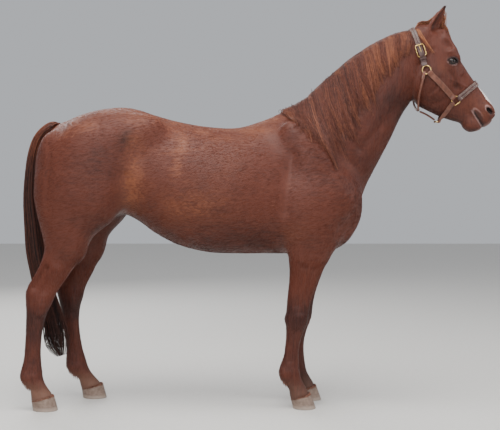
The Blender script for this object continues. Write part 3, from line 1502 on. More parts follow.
# Tail: along and height of its middle, out, half depth, half width
TAIL = [
    [-985, 1418, 0, 16, 22],
    [-1040, 1398, 0, 24, 30],
    [-1092, 1345, 0, 27, 33],
    [-1122, 1262, 0, 28, 35],
    [-1136, 1160, 2, 31, 38],
    [-1140, 1034, 6, 37, 42],
    [-1128, 900, 10, 46, 45],
    [-1118, 781, 14, 50, 46],
    [-1100, 680, 18, 50, 46],
    [-1078, 580, 22, 51, 45],
    [-1046, 480, 26, 53, 44],
    [-1022, 377, 28, 54, 42],
    [-1006, 300, 28, 44, 34],
    [-992, 240, 28, 16, 14],
]


def mane_paths(rng, locks, each, lift_range, reach_range):
    """Locks that rise over the crest and hang down the right side of the neck."""

    def own(values):
        """The value of each lock, for every strand in it."""
        return np.repeat(values, each, 0)[:, None]

    place = np.clip((np.arange(locks) + rng.uniform(-1.2, 1.2, locks)) / (locks - 1), 0, 1)
    table = np.stack(columns_at(MANE, place * (len(MANE) - 1)), 1)
    reach = rng.uniform(*reach_range, locks) * (0.55 + 0.45 * smooth(0, 0.16, place))
    reach *= 1 + 0.1 * np.sin(place * 31)
    shade = rng.uniform(0.1, 0.7, locks) + 0.3 * smooth(0.45, 0.8, place) * rng.uniform(0, 1, locks)
    strands = locks * each
    root = np.repeat(table[:, :2], each, 0) + rng.normal(0, [7, 2], (strands, 2))
    hem = np.repeat(table[:, 2:], each, 0)
    hem[:, :1] += own(rng.normal(0, 14, locks))
    hem = root + (hem - root) * own(reach) * (1.05 - 0.4 * rng.uniform(0, 1, (strands, 1)) ** 1.6)
    s = np.linspace(0, 1, MANE_POINTS) ** 1.35
    x = root[:, :1] + (hem[:, :1] - root[:, :1]) * (s - 0.1 * np.sin(s * math.pi))
    x += rng.normal(0, 8.5, (strands, 1)) * own(rng.uniform(0.6, 1.4, locks)) * (1 - 0.6 * s**1.5)
    x += own(rng.normal(0, 9, locks)) * np.sin(s * math.pi * 1.2)
    x += own(rng.uniform(0.2, 1.5, locks)) * np.sin(s * 11 + own(rng.uniform(0, 6, locks)))
    z = root[:, 1:] + (hem[:, 1:] - root[:, 1:]) * s
    over = rng.uniform(*lift_range, locks)
    lift = own(over) * (1 - 0.5 * s) + rng.uniform(0, 3.5, (strands, 1)) * (1 - 0.4 * s) + COAT - 1
    neck_steps = trunk_and_neck()
    paths = cast_out(np.stack([x, 0 * x, z], 2), [0.0, -1.0, 0.0], lift, neck_steps)
    across = np.stack([rng.uniform(3, 12, strands), rng.uniform(-5, 1, strands)], 1)
    top = np.stack([x[:, :2], across, z[:, :2] - 70], 2)
    rise = np.stack([np.full(strands, -1.5), np.repeat(over, each) * 0.8 + 1], 1)
    paths[:, :2] = cast_out(top, [0.0, 0.0, 1.0], rise, neck_steps)
    return paths, own(shade)[:, 0] + rng.normal(0, 0.1, strands)


def add_mane():
    rng = np.random.default_rng(SEED + 20)
    red = strand_finish("mane_hair", paint(46, 22, 18), paint(94, 50, 38), paint(140, 84, 58))
    for name, (*plan, nodes) in MANE_LAYERS.items():
        paths, shade = mane_paths(rng, *plan)
        hair_piece(name, paths, (0.95, 0.3), shade, red, "mane_hair", rng, *nodes)


def forelock_paths(rng):
    """Hair from the poll forward between the ears and over the forehead."""
    strands, count = 900, 13
    start = rng.uniform(-1, 1, strands)[:, None]
    first = rng.uniform(0, 0.55, (strands, 1)) ** 1.2
    last = np.clip(first + rng.uniform(0.4, 0.75, (strands, 1)), 0, rng.uniform(0.8, 1.0, (strands, 1)))
    last -= 0.13 * np.abs(start)
    s = np.linspace(0, 1, count)
    along = (first + (last - first) * s) * (len(FORELOCK) - 1)
    x, z = columns_at(FORELOCK, along)
    spread = np.interp(along / (len(FORELOCK) - 1), [0, 0.4, 0.7, 1], [24, 19, 30, 17])
    y = start * spread + rng.normal(0, 3, (strands, 1)) * s + 3 * np.sin(start * 9) * s
    arch = np.sin(np.clip(0.12 + s, 0, 1) * math.pi * 0.88)
    lift = COAT + 1 + 24 * arch * rng.uniform(0.15, 1, (strands, 1))
    lift[:, 0] = -1
    down = np.array([-0.3, 0, -1.0])
    paths = cast_out(np.stack([x, y, z], 2) + down * 85, -unit(down), lift)
    return paths, rng.uniform(0.15, 1.0, strands)


def cheek_lock_paths(rng):
    """A lock from behind each ear, ahead of the crown strap: long on the right, short on the left."""
    paths = []
    for side, strands, length in ((-1, 46, 1.0), (1, 30, 0.6)):
        for _ in range(strands):
            reach = length * rng.uniform(0.4, 1.0)
            s = np.linspace(0, 1, 13)
            off, bend = rng.normal(0, 4, 2), rng.normal(0, 4)
            x, z = columns_at(CHEEK_LOCK, s * reach * (len(CHEEK_LOCK) - 1))
            x = x + off[0] * (1 - 0.3 * s) + bend * np.sin(s * math.pi)
            start = np.stack([x, 0 * x, z + off[1] * (1 - 0.3 * s)], 1)
            lift = COAT + rng.uniform(0, 4) * np.sin(s * 2.6)
            lift[0] = -1
            paths.append(cast_out(start, [0.0, side, 0.0], lift))
    return np.array(paths), rng.uniform(0.15, 0.85, len(paths))


def add_forelock():
    """The forelock with the locks behind the ears, as one piece; returns its finish."""
    rng = np.random.default_rng(SEED + 21)
    paths, shade = forelock_paths(rng)
    lock_paths, lock_shade = cheek_lock_paths(rng)
    paths, shade = np.concatenate([paths, lock_paths]), np.concatenate([shade, lock_shade])
    ginger = strand_finish("forelock_hair", paint(78, 40, 29), paint(132, 76, 50), paint(172, 116, 80))
    hair_piece("forelock_hair", paths, (0.95, 0.3), shade, ginger, "mane_hair", rng, "forelock")
    return ginger


def tail_frame(t):
    """Middle, half depth, half width and the way across the tail, at shares of its length."""
    rows = np.array(TAIL, float)
    at, dense = curve_through(np.concatenate([np.arange(len(rows))[:, None], rows], 1), 300)

    def read(t):
        return np.stack([np.interp(t * (len(rows) - 1), at, c) for c in dense.T], -1)

    x, z, y, deep, wide = np.moveaxis(read(t), -1, 0)
    step = 0.004
    run = (read(t + step) - read(t - step))[..., :2]
    run /= np.maximum(np.linalg.norm(run, axis=-1, keepdims=True), 1e-6)
    return np.stack([x, y, z], -1), deep, wide, np.stack([run[..., 1], 0 * x, -run[..., 0]], -1)


def tail_point(t, angle, share):
    middle, deep, wide, back = tail_frame(t)
    out = np.zeros(middle.shape)
    out[..., 1] = 1
    reach = back * (np.cos(angle) * deep * share)[..., None]
    return middle + reach + out * (np.sin(angle) * wide * share)[..., None]


def tail_paths(rng):
    """Long strands from the dock down, in locks; most of them run near the outside."""
    strands, locks = 1300, 64
    lock = rng.integers(0, locks, strands)
    angle = (rng.uniform(0, 2 * math.pi, locks)[lock] + rng.normal(0, 0.2, strands))[:, None]
    share = np.sqrt(rng.uniform(0.45, 1.0, strands))[:, None]
    first = rng.uniform(0.0, 0.3, strands)[:, None] ** 1.3
    last = 1 - 0.34 * rng.uniform(0, 1, locks)[lock] ** 2 + rng.normal(0, 0.05, strands)
    last = np.clip(last, 0.5, 1)[:, None]
    s = np.linspace(0, 1, 24)
    t = first + (last - first) * s
    wave = 0.05 * np.sin(s * 9 + rng.uniform(0, 6, locks)[lock][:, None])
    fan = 1 + smooth(0.75, 1.0, t) * rng.uniform(-0.7, 0.9, locks)[lock][:, None]
    paths = tail_point(t, angle + wave, share * fan * (0.35 + 0.62 * smooth(0, 0.12, s)))
    outer = smooth(0.75, 0.98, share[:, 0])
    shade = 0.1 + 0.5 * outer * smooth(0.25, 0.0, first[:, 0]) + rng.uniform(0, 0.45, locks)[lock] * outer
    return paths, shade


def dock_paths(rng):
    """Short strands that lie close round the dock."""
    strands = 340
    start = rng.uniform(0, 0.05, (strands, 1))
    s = np.linspace(0, 1, 12)
    t = start + rng.uniform(0.06, 0.27, (strands, 1)) * s
    angle = rng.uniform(0, 2 * math.pi, (strands, 1)) + 0.1 * np.sin(t * 20)
    return tail_point(t, angle, rng.uniform(0.93, 1.03, (strands, 1)) * (0.3 + 0.7 * smooth(0, 0.35, s)))


def add_tail():
    """The tail's long hair, the short hair of its dock, and the dark bed under them."""
    rng = np.random.default_rng(SEED + 22)
    paths, shade = tail_paths(rng)
    dark = strand_finish("tail_hair", paint(15, 8, 8), paint(30, 16, 14), paint(76, 40, 30), 0.62)
    hair_piece("tail_hair", paths, (1.35, 0.35), shade, dark, "tail_hair", rng,
               "tail_dock", "tail_middle", "tail_end")
    reddish = strand_finish("dock_hair", paint(54, 27, 20), paint(96, 50, 36), paint(138, 82, 58))
    hair_piece("dock_hair", dock_paths(rng), (1.3, 0.3), (0, 0.8), reddish, "tail_hair", rng)
    angle, t = np.meshgrid(turns(24), np.linspace(0.012, 0.9, 40))
    size = 0.8 - 0.72 * smooth(0.72, 0.9, t) - 0.5 * smooth(0.08, 0.01, t)
    core = strand_finish("tail_core", paint(14, 9, 9), paint(28, 16, 14), paint(40, 22, 18), 0.6)
    shaped_piece("tail_bed", tail_point(t, angle, size), core, "tail_hair")


def ringed_mesh(name, rings, round_again=False):
    """A closed mesh through rings of points; it also closes on itself where it goes round again."""
    count, each = rings.shape[:2]
    corner = np.arange(count * each).reshape(count, each)
    below = corner if round_again else corner[:-1]
    above = np.roll(corner, -1, 0) if round_again else corner[1:]
    faces = np.stack([below, np.roll(below, -1, 1), np.roll(above, -1, 1), above], 2).reshape(-1, 4).tolist()
    if not round_again:
        faces.append(corner[0][::-1].tolist())
        faces.append(corner[-1].tolist())
    spots = (rings.reshape(-1, 3) + SHIFT) * MM
    volume = 0.0
    for f in faces:
        for i in range(1, len(f) - 1):
            volume += spots[f[0]] @ np.cross(spots[f[i]], spots[f[i + 1]])
    if volume < 0:
        faces = [f[::-1] for f in faces]
    mesh = bpy.data.meshes.new(name)
    mesh.from_pydata(spots.tolist(), [], faces)
    mesh.polygons.foreach_set("use_smooth", [len(f) == 4 for f in faces])
    return mesh


def shaped_piece(name, rings, finish, slot, *nodes, round_again=False):
    """A closed piece through rings of points."""
    mesh = ringed_mesh(name, rings, round_again)
    mesh.materials.append(finish)
    settle_piece(add_object(name, mesh), slot, *nodes)


# Strands round one hoof, behind one fetlock, over one eye and in one ear
FRINGE_STRANDS, FETLOCK_STRANDS, LASHES, EAR_STRANDS = 420, 190, 30, 150

add_mane()
ginger_hair = add_forelock()
add_tail()


def hoof_ring(name, up, size, turn):
    """Points round a hoof, `up` from the ground (0) to the skin (1), pulled in by `size`."""
    leg, plan = legs[name], HOOVES[kind_of(name)]
    middle, out = plan["middle"] + leg.lean(HOOF_HEEL), leg.edges(0)[3]
    ground, top = np.array(plan["ground"], float), np.array(plan["top"], float)
    back, front, half = ground + (top - ground) * up
    forward = (np.cos(turn) + 1) / 2
    along = back + (front - back) * forward
    y = np.sin(turn) * half * (1 - 0.12 * (1 - forward) ** 2) * size
    z = up * (HOOF_HEEL + (HOOF_TOE - HOOF_HEEL) * (along - top[0]) / (top[1] - top[0]))
    return np.stack([middle + along * size, out + y, z], -1)


def fringe_paths(name, rng):
    """Short strands that start inside the skin and lie over the top edge of a hoof."""
    s = np.linspace(0, 1, 7)[:, None]
    for turn in rng.uniform(0, 2 * math.pi, FRINGE_STRANDS):
        root = hoof_ring(name, 1.0, rng.uniform(0.8, 0.9), turn)
        root[2] += rng.uniform(0, 5)
        tip = hoof_ring(name, rng.uniform(0.88, 0.97), 1.006, turn + rng.normal(0, 0.03))
        over = hoof_ring(name, 1.0, 0.98, turn)
        over[2] += 1.5
        yield root * (1 - s) ** 2 + over * 2 * s * (1 - s) + tip * s**2


def fetlock_paths(name, rng):
    """Strands that hang from the back of a fetlock."""
    leg, lowered = legs[name], {"foreleg": 0, "hind_leg": 14}[kind_of(name)]
    s = np.linspace(0, 1, 7)[:, None]
    for _ in range(FETLOCK_STRANDS):
        z = rng.uniform(126, 186) - lowered
        out = rng.uniform(-0.6, 0.6)
        start, middle = leg.spot(z, 0.12 + 0.25 * out * out, out), leg.spot(z, 0.5, 0)
        away = unit(np.array([start[0] - middle[0], (start[1] - middle[1]) * 0.6, 0]))
        length = rng.uniform(12, 29) * (1 - 0.5 * abs(out))
        path = start + away * (length * 0.28 * np.sin(s * 2.4)) + np.array([0, 0, -1.0]) * length * s**1.2
        yield path + np.array([0, rng.normal(0, 2), 0]) * s


def add_fetlocks(finish):
    """Hair behind each fetlock, and a short fringe over the top of each hoof."""
    rng = np.random.default_rng(SEED + 23)
    paths = []
    for name in legs:
        paths += [*fringe_paths(name, rng), *fetlock_paths(name, rng)]
    hair_piece("fetlock_hair", np.array(paths), (0.85, 0.25), (0, 0.95), finish, "coat", rng)


def add_lashes(finish):
    """Upper lashes that stand out over each eye and turn down."""
    rng = np.random.default_rng(SEED + 24)
    paths = []
    for seat in eye_seats.values():
        for share in np.linspace(-0.75, 0.85, LASHES):
            s_at = share * EYE_SLIT["half"]
            t_at = EYE_SLIT["up"] * (1 - share**2) + 0.6
            root = seat.middle + seat.along * s_at + seat.up * t_at + seat.look * 18
            length = rng.uniform(9, 14)
            s = np.linspace(0, 1, 6)[:, None]
            path = root + seat.look * length * s + seat.up * length * (0.28 * s - 0.75 * s**2)
            paths.append(path + seat.along * (share * 5 + rng.normal(0, 1)) * s)
    hair_piece("eyelashes", np.array(paths), (0.4, 0.12), np.zeros(len(paths)), finish, "coat", rng)


def add_ear_hair(finish):
    """Soft hair along both edges of each ear's opening."""
    rng = np.random.default_rng(SEED + 25)
    paths = []
    for ear in ears.values():
        for _ in range(EAR_STRANDS):
            share = rng.uniform(0.0, 0.82)
            width, depth = ear.size(share)
            side = rng.choice([-1, 1])
            root = ear.base + ear.axis * ear.length * share + ear.across * side * width * 0.84
            root = root + ear.open * depth * rng.uniform(-0.35, 0.2)
            length = rng.uniform(9, 19) * (1 - 0.5 * share)
            s = np.linspace(0, 1, 6)[:, None]
            way = unit(ear.axis * 0.8 - ear.across * side * 0.75 + ear.open * 0.25)
            paths.append(root + way * length * s + ear.axis * 3 * s**2)
    hair_piece("ear_hair", np.array(paths), (0.75, 0.25), (0.1, 0.8), finish, "coat", rng)


dark_hair = strand_finish("dark_hair", paint(28, 18, 16), paint(64, 40, 32), paint(104, 74, 58))
add_fetlocks(strand_finish("leg_hair", paint(74, 42, 33), paint(112, 68, 53), paint(146, 102, 82)))
add_lashes(dark_hair)
add_ear_hair(ginger_hair)

# ---- eyes and hooves


def eye_finish():
    """A dark brown iris with a level pupil, under a wet glossy surface."""
    f = Finish("eye")
    along, up = f.attribute("iris_along"), f.attribute("iris_up")
    wide, high = along * (1 / PUPIL_HALF[0]), up * (1 / PUPIL_HALF[1])
    iris_off = (along * along + up * up).root()
    pupil_off = (wide * wide + high * high).root()
    rays = f.noise(900, 2)
    iris = f.mix(paint(44, 24, 14), paint(16, 9, 7), f.step(iris_off + (rays - 0.5) * 5, 6.0, 14.0))
    color = f.mix(paint(2, 3, 6), iris, f.step(pupil_off + (rays - 0.5) * 0.2, 0.9, 1.1))
    white = f.mix(paint(62, 44, 38), paint(34, 24, 22), f.noise(300))
    color = f.mix(color, white, f.step(iris_off, 15.5, 17.5))
    return f.finish(color, 0.35, Specular_IOR_Level=0.15, Coat_Weight=0.55, Coat_Roughness=0.04)


def add_eyes():
    glossy = eye_finish()
    for side, label in SIDES.items():
        seat = eye_seats[side]
        tilt = np.linspace(0, math.pi, 33)[1:-1]
        turn = turns(48)
        bulge = EYE_RADIUS + 1.5 * smooth(0.9, 0.2, tilt)
        flat = (np.sin(tilt) * bulge)[:, None]
        along, up = flat * np.cos(turn), flat * np.sin(turn)
        deep = (np.cos(tilt) * bulge)[:, None] + 0 * turn
        local = np.stack([along, up, deep], -1)
        rings = seat.middle + local @ np.stack([seat.along, seat.up, seat.look])
        mesh = ringed_mesh(f"eyeball_{label}", rings)
        front = (deep > 0).ravel()
        write_attribute(mesh, "iris_along", np.where(front, along.ravel(), 30))
        write_attribute(mesh, "iris_up", np.where(front, up.ravel(), 30))
        mesh.materials.append(glossy)
        settle_piece(add_object(f"eyeball_{label}", mesh), "eye", f"eye_{label}")


def hoof_finish():
    """Dusty horn with rings round it, fine lines down it and pale scuffs at the ground."""
    f = Finish("hoof_horn")
    low = f.step(f.node("ShaderNodeSeparateXYZ", {}, {"Vector": f.place}, out=2), 0.0, 0.05)
    rings = f.noise(260, 2, (0.12, 0.12, 1))
    lines = f.noise(420, 2, (1, 1, 0.06))
    scuff = f.noise(60, 4)
    color = f.mix(paint(112, 92, 80), paint(140, 119, 106), f.step(scuff + (rings - 0.5) * 0.35, 0.25, 0.8))
    color = f.mix(color, paint(88, 68, 58), f.step(lines, 0.5, 0.8) * 0.35)
    color = f.mix(paint(156, 140, 128), color, f.step(low + scuff * 0.5, 0.25, 0.7))
    return f.finish(color, 0.62 + (scuff - 0.5) * 0.2, rings * 0.7 + lines * 0.3, 0.0016)


def add_hooves():
    horn = hoof_finish()
    for name in legs:
        # Levels of the wall from the sole's inside edge up to the band of skin and in over it
        levels = [(0.02, 0.8), (0.02, 0.86), (0.0, 0.93), (0.0, 0.975), (0.03, 1.0)]
        levels += [(up, 1.0 + 0.006 * math.sin(up * 40)) for up in np.linspace(0.1, 0.84, 10)]
        levels += [(0.9, 0.99), (0.95, 0.965), (0.985, 0.925), (0.99, 0.88), (0.95, 0.8)]
        rings = []
        for up, size in levels:
            ring = hoof_ring(name, up, size, turns(56))
            if size < 0.9 and up < 0.5:
                ring[:, 2] += SOLE_RISE
            rings.append(ring)
        shaped_piece(f"{name}_horn", np.array(rings), horn, "hoof_horn", f"{name}_hoof")


add_eyes()
add_hooves()

# ---- halter

STRAP_WIDTH, CHIN_WIDTH, CHIN_END_WIDTH, THROAT_TAB_WIDTH = 28, 22, 13, 15
KEEPER_WIDTH, KEEPER_THICK = 9, 1.8
LOOP_WIDTH, LOOP_THICK = 10, 2.2
LEATHER = 2.4  # thickness of one layer
OUTER_LEVEL = 7.4  # how far the middle of a strap's outer layer lies over the skin
FITTING_LEVEL = 9.4  # how far the wire of a ring lies over the skin
RING_WIRE, SQUARE_WIRE, BUCKLE_WIRE, CHIN_WIRE = 3.0, 2.8, 2.6, 2.9
FOLD = 24  # how far a strap's end runs back under it
CHEEK_RING, CHEEK_RING_RADIUS = (844, 1681), 21
NOSE_SQUARE, NOSE_SQUARE_SIDE, NOSE_SQUARE_RISE = (996, 1530), 36, -52
BUCKLE, BUCKLE_HEIGHT, BUCKLE_WIDTH, BUCKLE_RISE = (816, 1777), 58, 42, -72
CHIN_RING, CHIN_RING_RADIUS = (914, 0, 1428), 13
CROWN_END, CROWN_TOP = (835, 1708), (783, 1886)
NOSEBAND_END, NOSEBAND_TOP = (1015, 1545), (1101, 1616)
CHIN_LAID = [(978, 1515), (963, 1494), (949, 1473)]
CHIN_FREE = [(936, 33, 1455), (925, 18, 1441)]
THROAT_ROUTE = [(831, 104, 1652), (815, 104, 1592), (806, 88, 1535), (811, 45, 1498), (816, 0, 1488)]
JAW_ROUTE = [(824, 0, 1480), (854, 0, 1467), (879, 0, 1452), (901, 0, 1437)]
ROLL_RADIUS = 5.5


def toward(a, b, distance):
    """The point that lies a distance from a on the way to b, both by along and height."""
    a, b = np.array(a, float), np.array(b, float)
    return a + (b - a) * distance / np.linalg.norm(b - a)


def smooth_line(spots, step):
    """Points at even steps on a smooth curve through the spots."""
    spots = np.asarray(spots, float)
    gap = np.linalg.norm(np.diff(spots, axis=0), axis=1)
    rows = np.concatenate([np.concatenate([[0], np.cumsum(gap)])[:, None], spots], 1)
    _, dense = curve_through(rows, 400)
    gap = np.linalg.norm(np.diff(dense, axis=0), axis=1)
    at = np.concatenate([[0], np.cumsum(gap)])
    even = np.linspace(0, at[-1], max(int(at[-1] / step), 2) + 1)
    return np.stack([np.interp(even, at, c) for c in dense.T], 1)


class StrapLine:
    """A line for a strap to follow: its points, its way along, its way across and its way out."""

    def __init__(self, spots, last_side=None):
        self.spots = spots
        self.at = np.concatenate([[0], np.cumsum(np.linalg.norm(np.diff(spots, axis=0), axis=1))])
        self.length = self.at[-1]
        self.run = unit(np.gradient(spots, axis=0))
        self.side = unit(np.cross(unit(slope_of(spots)), self.run))
        if last_side is not None:
            share = smooth(self.length * 0.55, self.length, self.at)[:, None]
            last_side = last_side * math.copysign(1, last_side @ self.side[-1])
            self.side = unit(self.side * (1 - share) + last_side * share)

    def place(self, along, over):
        """Points over the line, and the way across there; it runs straight on past its ends."""
        along, over = np.asarray(along, float), np.asarray(over, float)
        inside = np.clip(along, 0, self.length)
        spot, run, side = (np.stack([np.interp(inside, self.at, c) for c in v.T], 1)
                           for v in (self.spots, self.run, self.side))
        run, side = unit(run), unit(side)
        return spot + run * (along - inside)[:, None] + np.cross(run, side) * over[:, None], side


def folded(line, level, wires, step=3.0):
    """Distances along and over a line, for a strap whose ends fold round wires (height, radius)."""
    outer = np.arange(0, line.length + 1e-6, line.length / round(line.length / step))
    over = np.interp(outer, [0, line.length], level)
    for end, wire in ((0, wires[0]), (line.length, wires[1])):
        if wire:
            raised = wire[0] + wire[1] + LEATHER / 2
            near = smooth(20, 1, np.abs(outer - end))
            over = over * (1 - near) + raised * near
    along, height = [outer], [over]
    for first, wire in ((True, wires[0]), (False, wires[1])):
        if not wire:
            continue
        reach = wire[1] + LEATHER / 2
        turn = np.radians(np.linspace(90, 270, 9)[1:])
        back = np.array([6, 12, 18, FOLD], float)
        under = wire[0] - reach
        low = (level[0] if first else level[1]) - LEATHER - 0.15
        u = np.concatenate([reach * np.cos(turn), back])
        h = np.concatenate([wire[0] + reach * np.sin(turn), under + (low - under) * smooth(0, 14, back)])
        if first:
            along.insert(0, u[::-1])
            height.insert(0, h[::-1])
        else:
            along.append(line.length - u)
            height.append(h)
    return np.concatenate(along), np.concatenate(height)


def rounded_corners(length, width, corner, count):
    """Points on the four rounded corners of a rectangle, in their order round it."""
    spots = []
    for sx, sy, start in ((1, 1, 0), (-1, 1, 90), (-1, -1, 180), (1, -1, 270)):
        for a in np.radians(np.linspace(start, start + 90, count)):
            spots.append((sx * (length / 2 - corner) + corner * math.cos(a),
                          sy * (width / 2 - corner) + corner * math.sin(a)))
    return spots


def strap_section(width, thick):
    """Across and out, round a strap's edge: rounded corners and a slightly raised middle."""
    spots = rounded_corners(width, thick, min(0.95, thick * 0.42), 3)
    spots.insert(3, (0, thick / 2 + 0.35))
    return np.array(spots)


def band_mesh(name, path, side, width, finish, thick=LEATHER, again=False):
    """A flat leather band along a path; its width is one number, or one for each point."""
    run = np.roll(path, -1, 0) - np.roll(path, 1, 0) if again else np.gradient(path, axis=0)
    run = unit(run)
    side = unit(side - run * (side * run).sum(1, keepdims=True))
    out = np.cross(run, side)
    width = np.broadcast_to(np.asarray(width, float), (len(path),))
    rings, across = [], []
    for i in range(len(path)):
        section = strap_section(width[i], thick)
        if not again and i in (0, len(path) - 1):
            section = section * np.array([1 - 1.2 / width[i], 0.6])
        rings.append(path[i] + section[:, :1] * side[i] + section[:, 1:] * out[i])
        across.append(np.abs(section[:, 0]) / (width[i] / 2))
    mesh = ringed_mesh(name, np.array(rings), again)
    write_attribute(mesh, "across", np.array(across))
    mesh.materials.append(finish)
    return add_object(name, mesh), out


def leather_finish(name, dark, light, edge):
    """Oiled harness leather: fine grain, creases, darker cut edges and worn high spots."""
    f = Finish(name)
    grain = f.noise(900, 3)
    blotch = f.noise(45, 3)
    scuff = f.noise(160, 4)
    color = f.mix(dark, light, f.step(blotch + (grain - 0.5) * 0.3, 0.1, 0.95))
    cut = f.step(f.attribute("across"), 0.93, 0.99)
    color = f.mix(color, edge, cut * 0.8)
    worn = f.step(f.attribute("across"), 0.8, 0.92) * f.step(scuff, 0.5, 0.62) * (1 - cut)
    color = f.mix(color, paint(176, 136, 112), worn * 0.35)
    return f.finish(color, 0.42 + (blotch - 0.5) * 0.2 + worn * 0.15, grain + scuff * 0.6, 0.0005,
                    Specular_IOR_Level=0.45)


def brass_finish():
    """Brass that is bright where it rubs and dull in between."""
    f = Finish("halter_brass")
    dull = f.step(f.noise(120, 4), 0.42, 0.68)
    scratch = f.noise(1200, 2, (0.2, 1, 1))
    color = f.mix(paint(222, 190, 122), paint(150, 112, 60), dull * 0.7)
    return f.finish(color, 0.2 + dull * 0.25 + (scratch - 0.5) * 0.1, scratch, 0.0001, Metallic=1.0)


def thread_finish(name, light, dark):
    f = Finish(name)
    worn = f.noise(300, 3)
    color = f.mix(dark, light, f.step(worn, 0.3, 0.6))
    return f.finish(color, 0.75 + (worn - 0.5) * 0.2, f.noise(2500, 1), 0.0003)


def stitch_shape():
    """One stitch: a short thread that sinks in at both ends."""
    stations = [(-0.5, 0.3, -0.35), (-0.3, 0.9, 0.3), (0.0, 1.0, 0.5), (0.3, 0.9, 0.3), (0.5, 0.3, -0.35)]
    points = []
    for along, size, up in stations:
        for turn in range(5):
            a = math.radians(90 + 72 * turn)
            points.append((along * STITCH_LENGTH, math.cos(a) * size * STITCH_WIDTH / 2,
                           (math.sin(a) * size * 0.5 + up) * STITCH_WIDTH / 2))
    faces = [tuple(range(5))[::-1], tuple(range(20, 25))]
    for ring in range(0, 20, 5):
        for i in range(5):
            j = (i + 1) % 5
            faces.append((ring + i, ring + j, ring + 5 + j, ring + 5 + i))
    mesh = bpy.data.meshes.new("stitch")
    mesh.from_pydata([tuple(c * MM for c in p) for p in points], [], faces)
    mesh.polygons.foreach_set("use_smooth", [len(f) == 4 for f in faces])
    turn_outward(mesh)
    return add_object("stitch", mesh)


def turn_outward(mesh):
    """Turns a closed mesh's faces to point outwards."""
    made = bmesh.new()
    made.from_mesh(mesh)
    bmesh.ops.recalc_face_normals(made, faces=made.faces[:])
    made.to_mesh(mesh)
    made.free()


STITCH_LENGTH, STITCH_WIDTH, STITCH_STEP = 3.7, 1.25, 4.9


def stitch_growth():
    """Stitches set along lines at even steps."""
    g = Growth("stitches", Stitch="Object", Step="Float", Finish="Material")
    curve = g.node("GeometryNodeMeshToCurve", {}, {"Mesh": g.given("Body")})
    spots = g.node("GeometryNodeCurveToPoints", {"mode": "LENGTH"},
                   {"Curve": curve, "Length": g.given("Step")})
    tangent = Value(g, spots.socket.node.outputs["Tangent"])
    turn = g.node("FunctionNodeAxesToRotation", {"primary_axis": "X", "secondary_axis": "Z"},
                  {"Primary Axis": tangent, "Secondary Axis": g.attribute("up", "FLOAT_VECTOR")})
    stitch = g.node("GeometryNodeObjectInfo", {}, {"Object": g.given("Stitch")}, out=4)
    g.end(g.node("GeometryNodeInstanceOnPoints", {}, {"Points": spots, "Instance": stitch, "Rotation": turn}))
    return g


def stitch_rows(name, rows, finish):
    """Rows of stitches as one piece: each row is its points and the ways out there."""
    spots, ups, edges = [], [], []
    for path, up in rows:
        first = sum(len(s) for s in spots)
        edges += [(first + i, first + i + 1) for i in range(len(path) - 1)]
        spots.append(path)
        ups.append(up)
    lines = add_lines(name, np.concatenate(spots), edges)
    write_attribute(lines.data, "up", np.concatenate(ups), "FLOAT_VECTOR")
    piece = stitches_tree.grow(name, lines, Stitch=stitch, Step=STITCH_STEP * MM, Finish=finish)
    drop(lines)
    settle_piece(piece, "halter_thread")


def row_on(path, side, out, across, trim=0):
    """A stitch row's points on a band, by its distance from the band's middle."""
    keep = slice(trim, len(path) - trim or None)
    return (path + side * across + out * (LEATHER / 2 + 0.3))[keep], out[keep]


def side_line(a, b, side, step=4.0):
    """A line on one side of the head between two places along and up."""
    a, b = np.array(a, float), np.array(b, float)
    count = max(int(np.linalg.norm(b - a) / step), 3)
    return on_side(a + (b - a) * np.linspace(0, 1, count + 1)[:, None], side)


def hoop_line(end, top, count=60):
    """A line over the head, from one side to the other, in one plane."""
    end, top = np.array(end, float), np.array(top, float)
    rise = unit(top - end)
    turn = np.radians(np.linspace(-90, 90, count + 1))
    ways = np.stack([np.cos(turn) * rise[0], np.sin(turn), np.cos(turn) * rise[1]], 1)
    return cast_out(np.tile([end[0], 0, end[1]], (count + 1, 1)), ways, 0.0)


def strap(name, line, width, finish, wires, level=(OUTER_LEVEL, OUTER_LEVEL), nodes=()):
    """A strap whose ends fold round its fittings; returns what its stitches need."""
    along, over = folded(line, level, wires)
    path, side = line.place(along, over)
    if callable(width):
        width = width(along, line.length)
    piece, out = band_mesh(name, path, side, width, finish)
    settle_piece(piece, "halter_leather", *nodes)
    shown = (over > np.interp(along, [0, line.length], level) - 1.3) & (along > 9) & (along < line.length - 9)
    return path[shown], side[shown], out[shown]


def seat(place, side, lift, rise):
    """The ways ahead, across and out of a fitting on one side of the head, and its middle."""
    at = on_side([place], side, lift)[0]
    out = unit(slope_of(at[None]))[0]
    ahead = sloped(rise)[0]
    ahead = unit(ahead - out * (ahead @ out))
    return at, ahead, np.cross(out, ahead), out


def wire_loop(name, outline, frame_axes, wire, finish):
    """Round wire bent along a flat closed outline, as the halter's fitting of that name."""
    at, ahead, across, out = frame_axes
    flat = np.array(outline, float)
    run = unit(np.roll(flat, -1, 0) - np.roll(flat, 1, 0))
    away = np.stack([run[:, 1], -run[:, 0]], 1)
    turn = turns(14)[:, None]
    flat_rings = flat[:, None] + away[:, None] * np.cos(turn) * wire
    rings = at + flat_rings @ np.stack([ahead, across]) + out * np.sin(turn) * wire
    shaped_piece(name, rings, finish, "halter_brass", "halter_" + name, round_again=True)


def round_outline(radius, count=56):
    return np.stack([np.cos(turns(count)), np.sin(turns(count))], 1) * radius


def square_outline(length, width, corner, count=7, per_side=5):
    """A rounded rectangle's outline."""
    spots = rounded_corners(length, width, corner, count)
    closed = np.array(spots + spots[:1])
    made = []
    for a, b in zip(closed, closed[1:]):
        many = per_side if np.linalg.norm(b - a) > corner else 1
        made += [a + (b - a) * i / many for i in range(many)]
    return np.array(made)


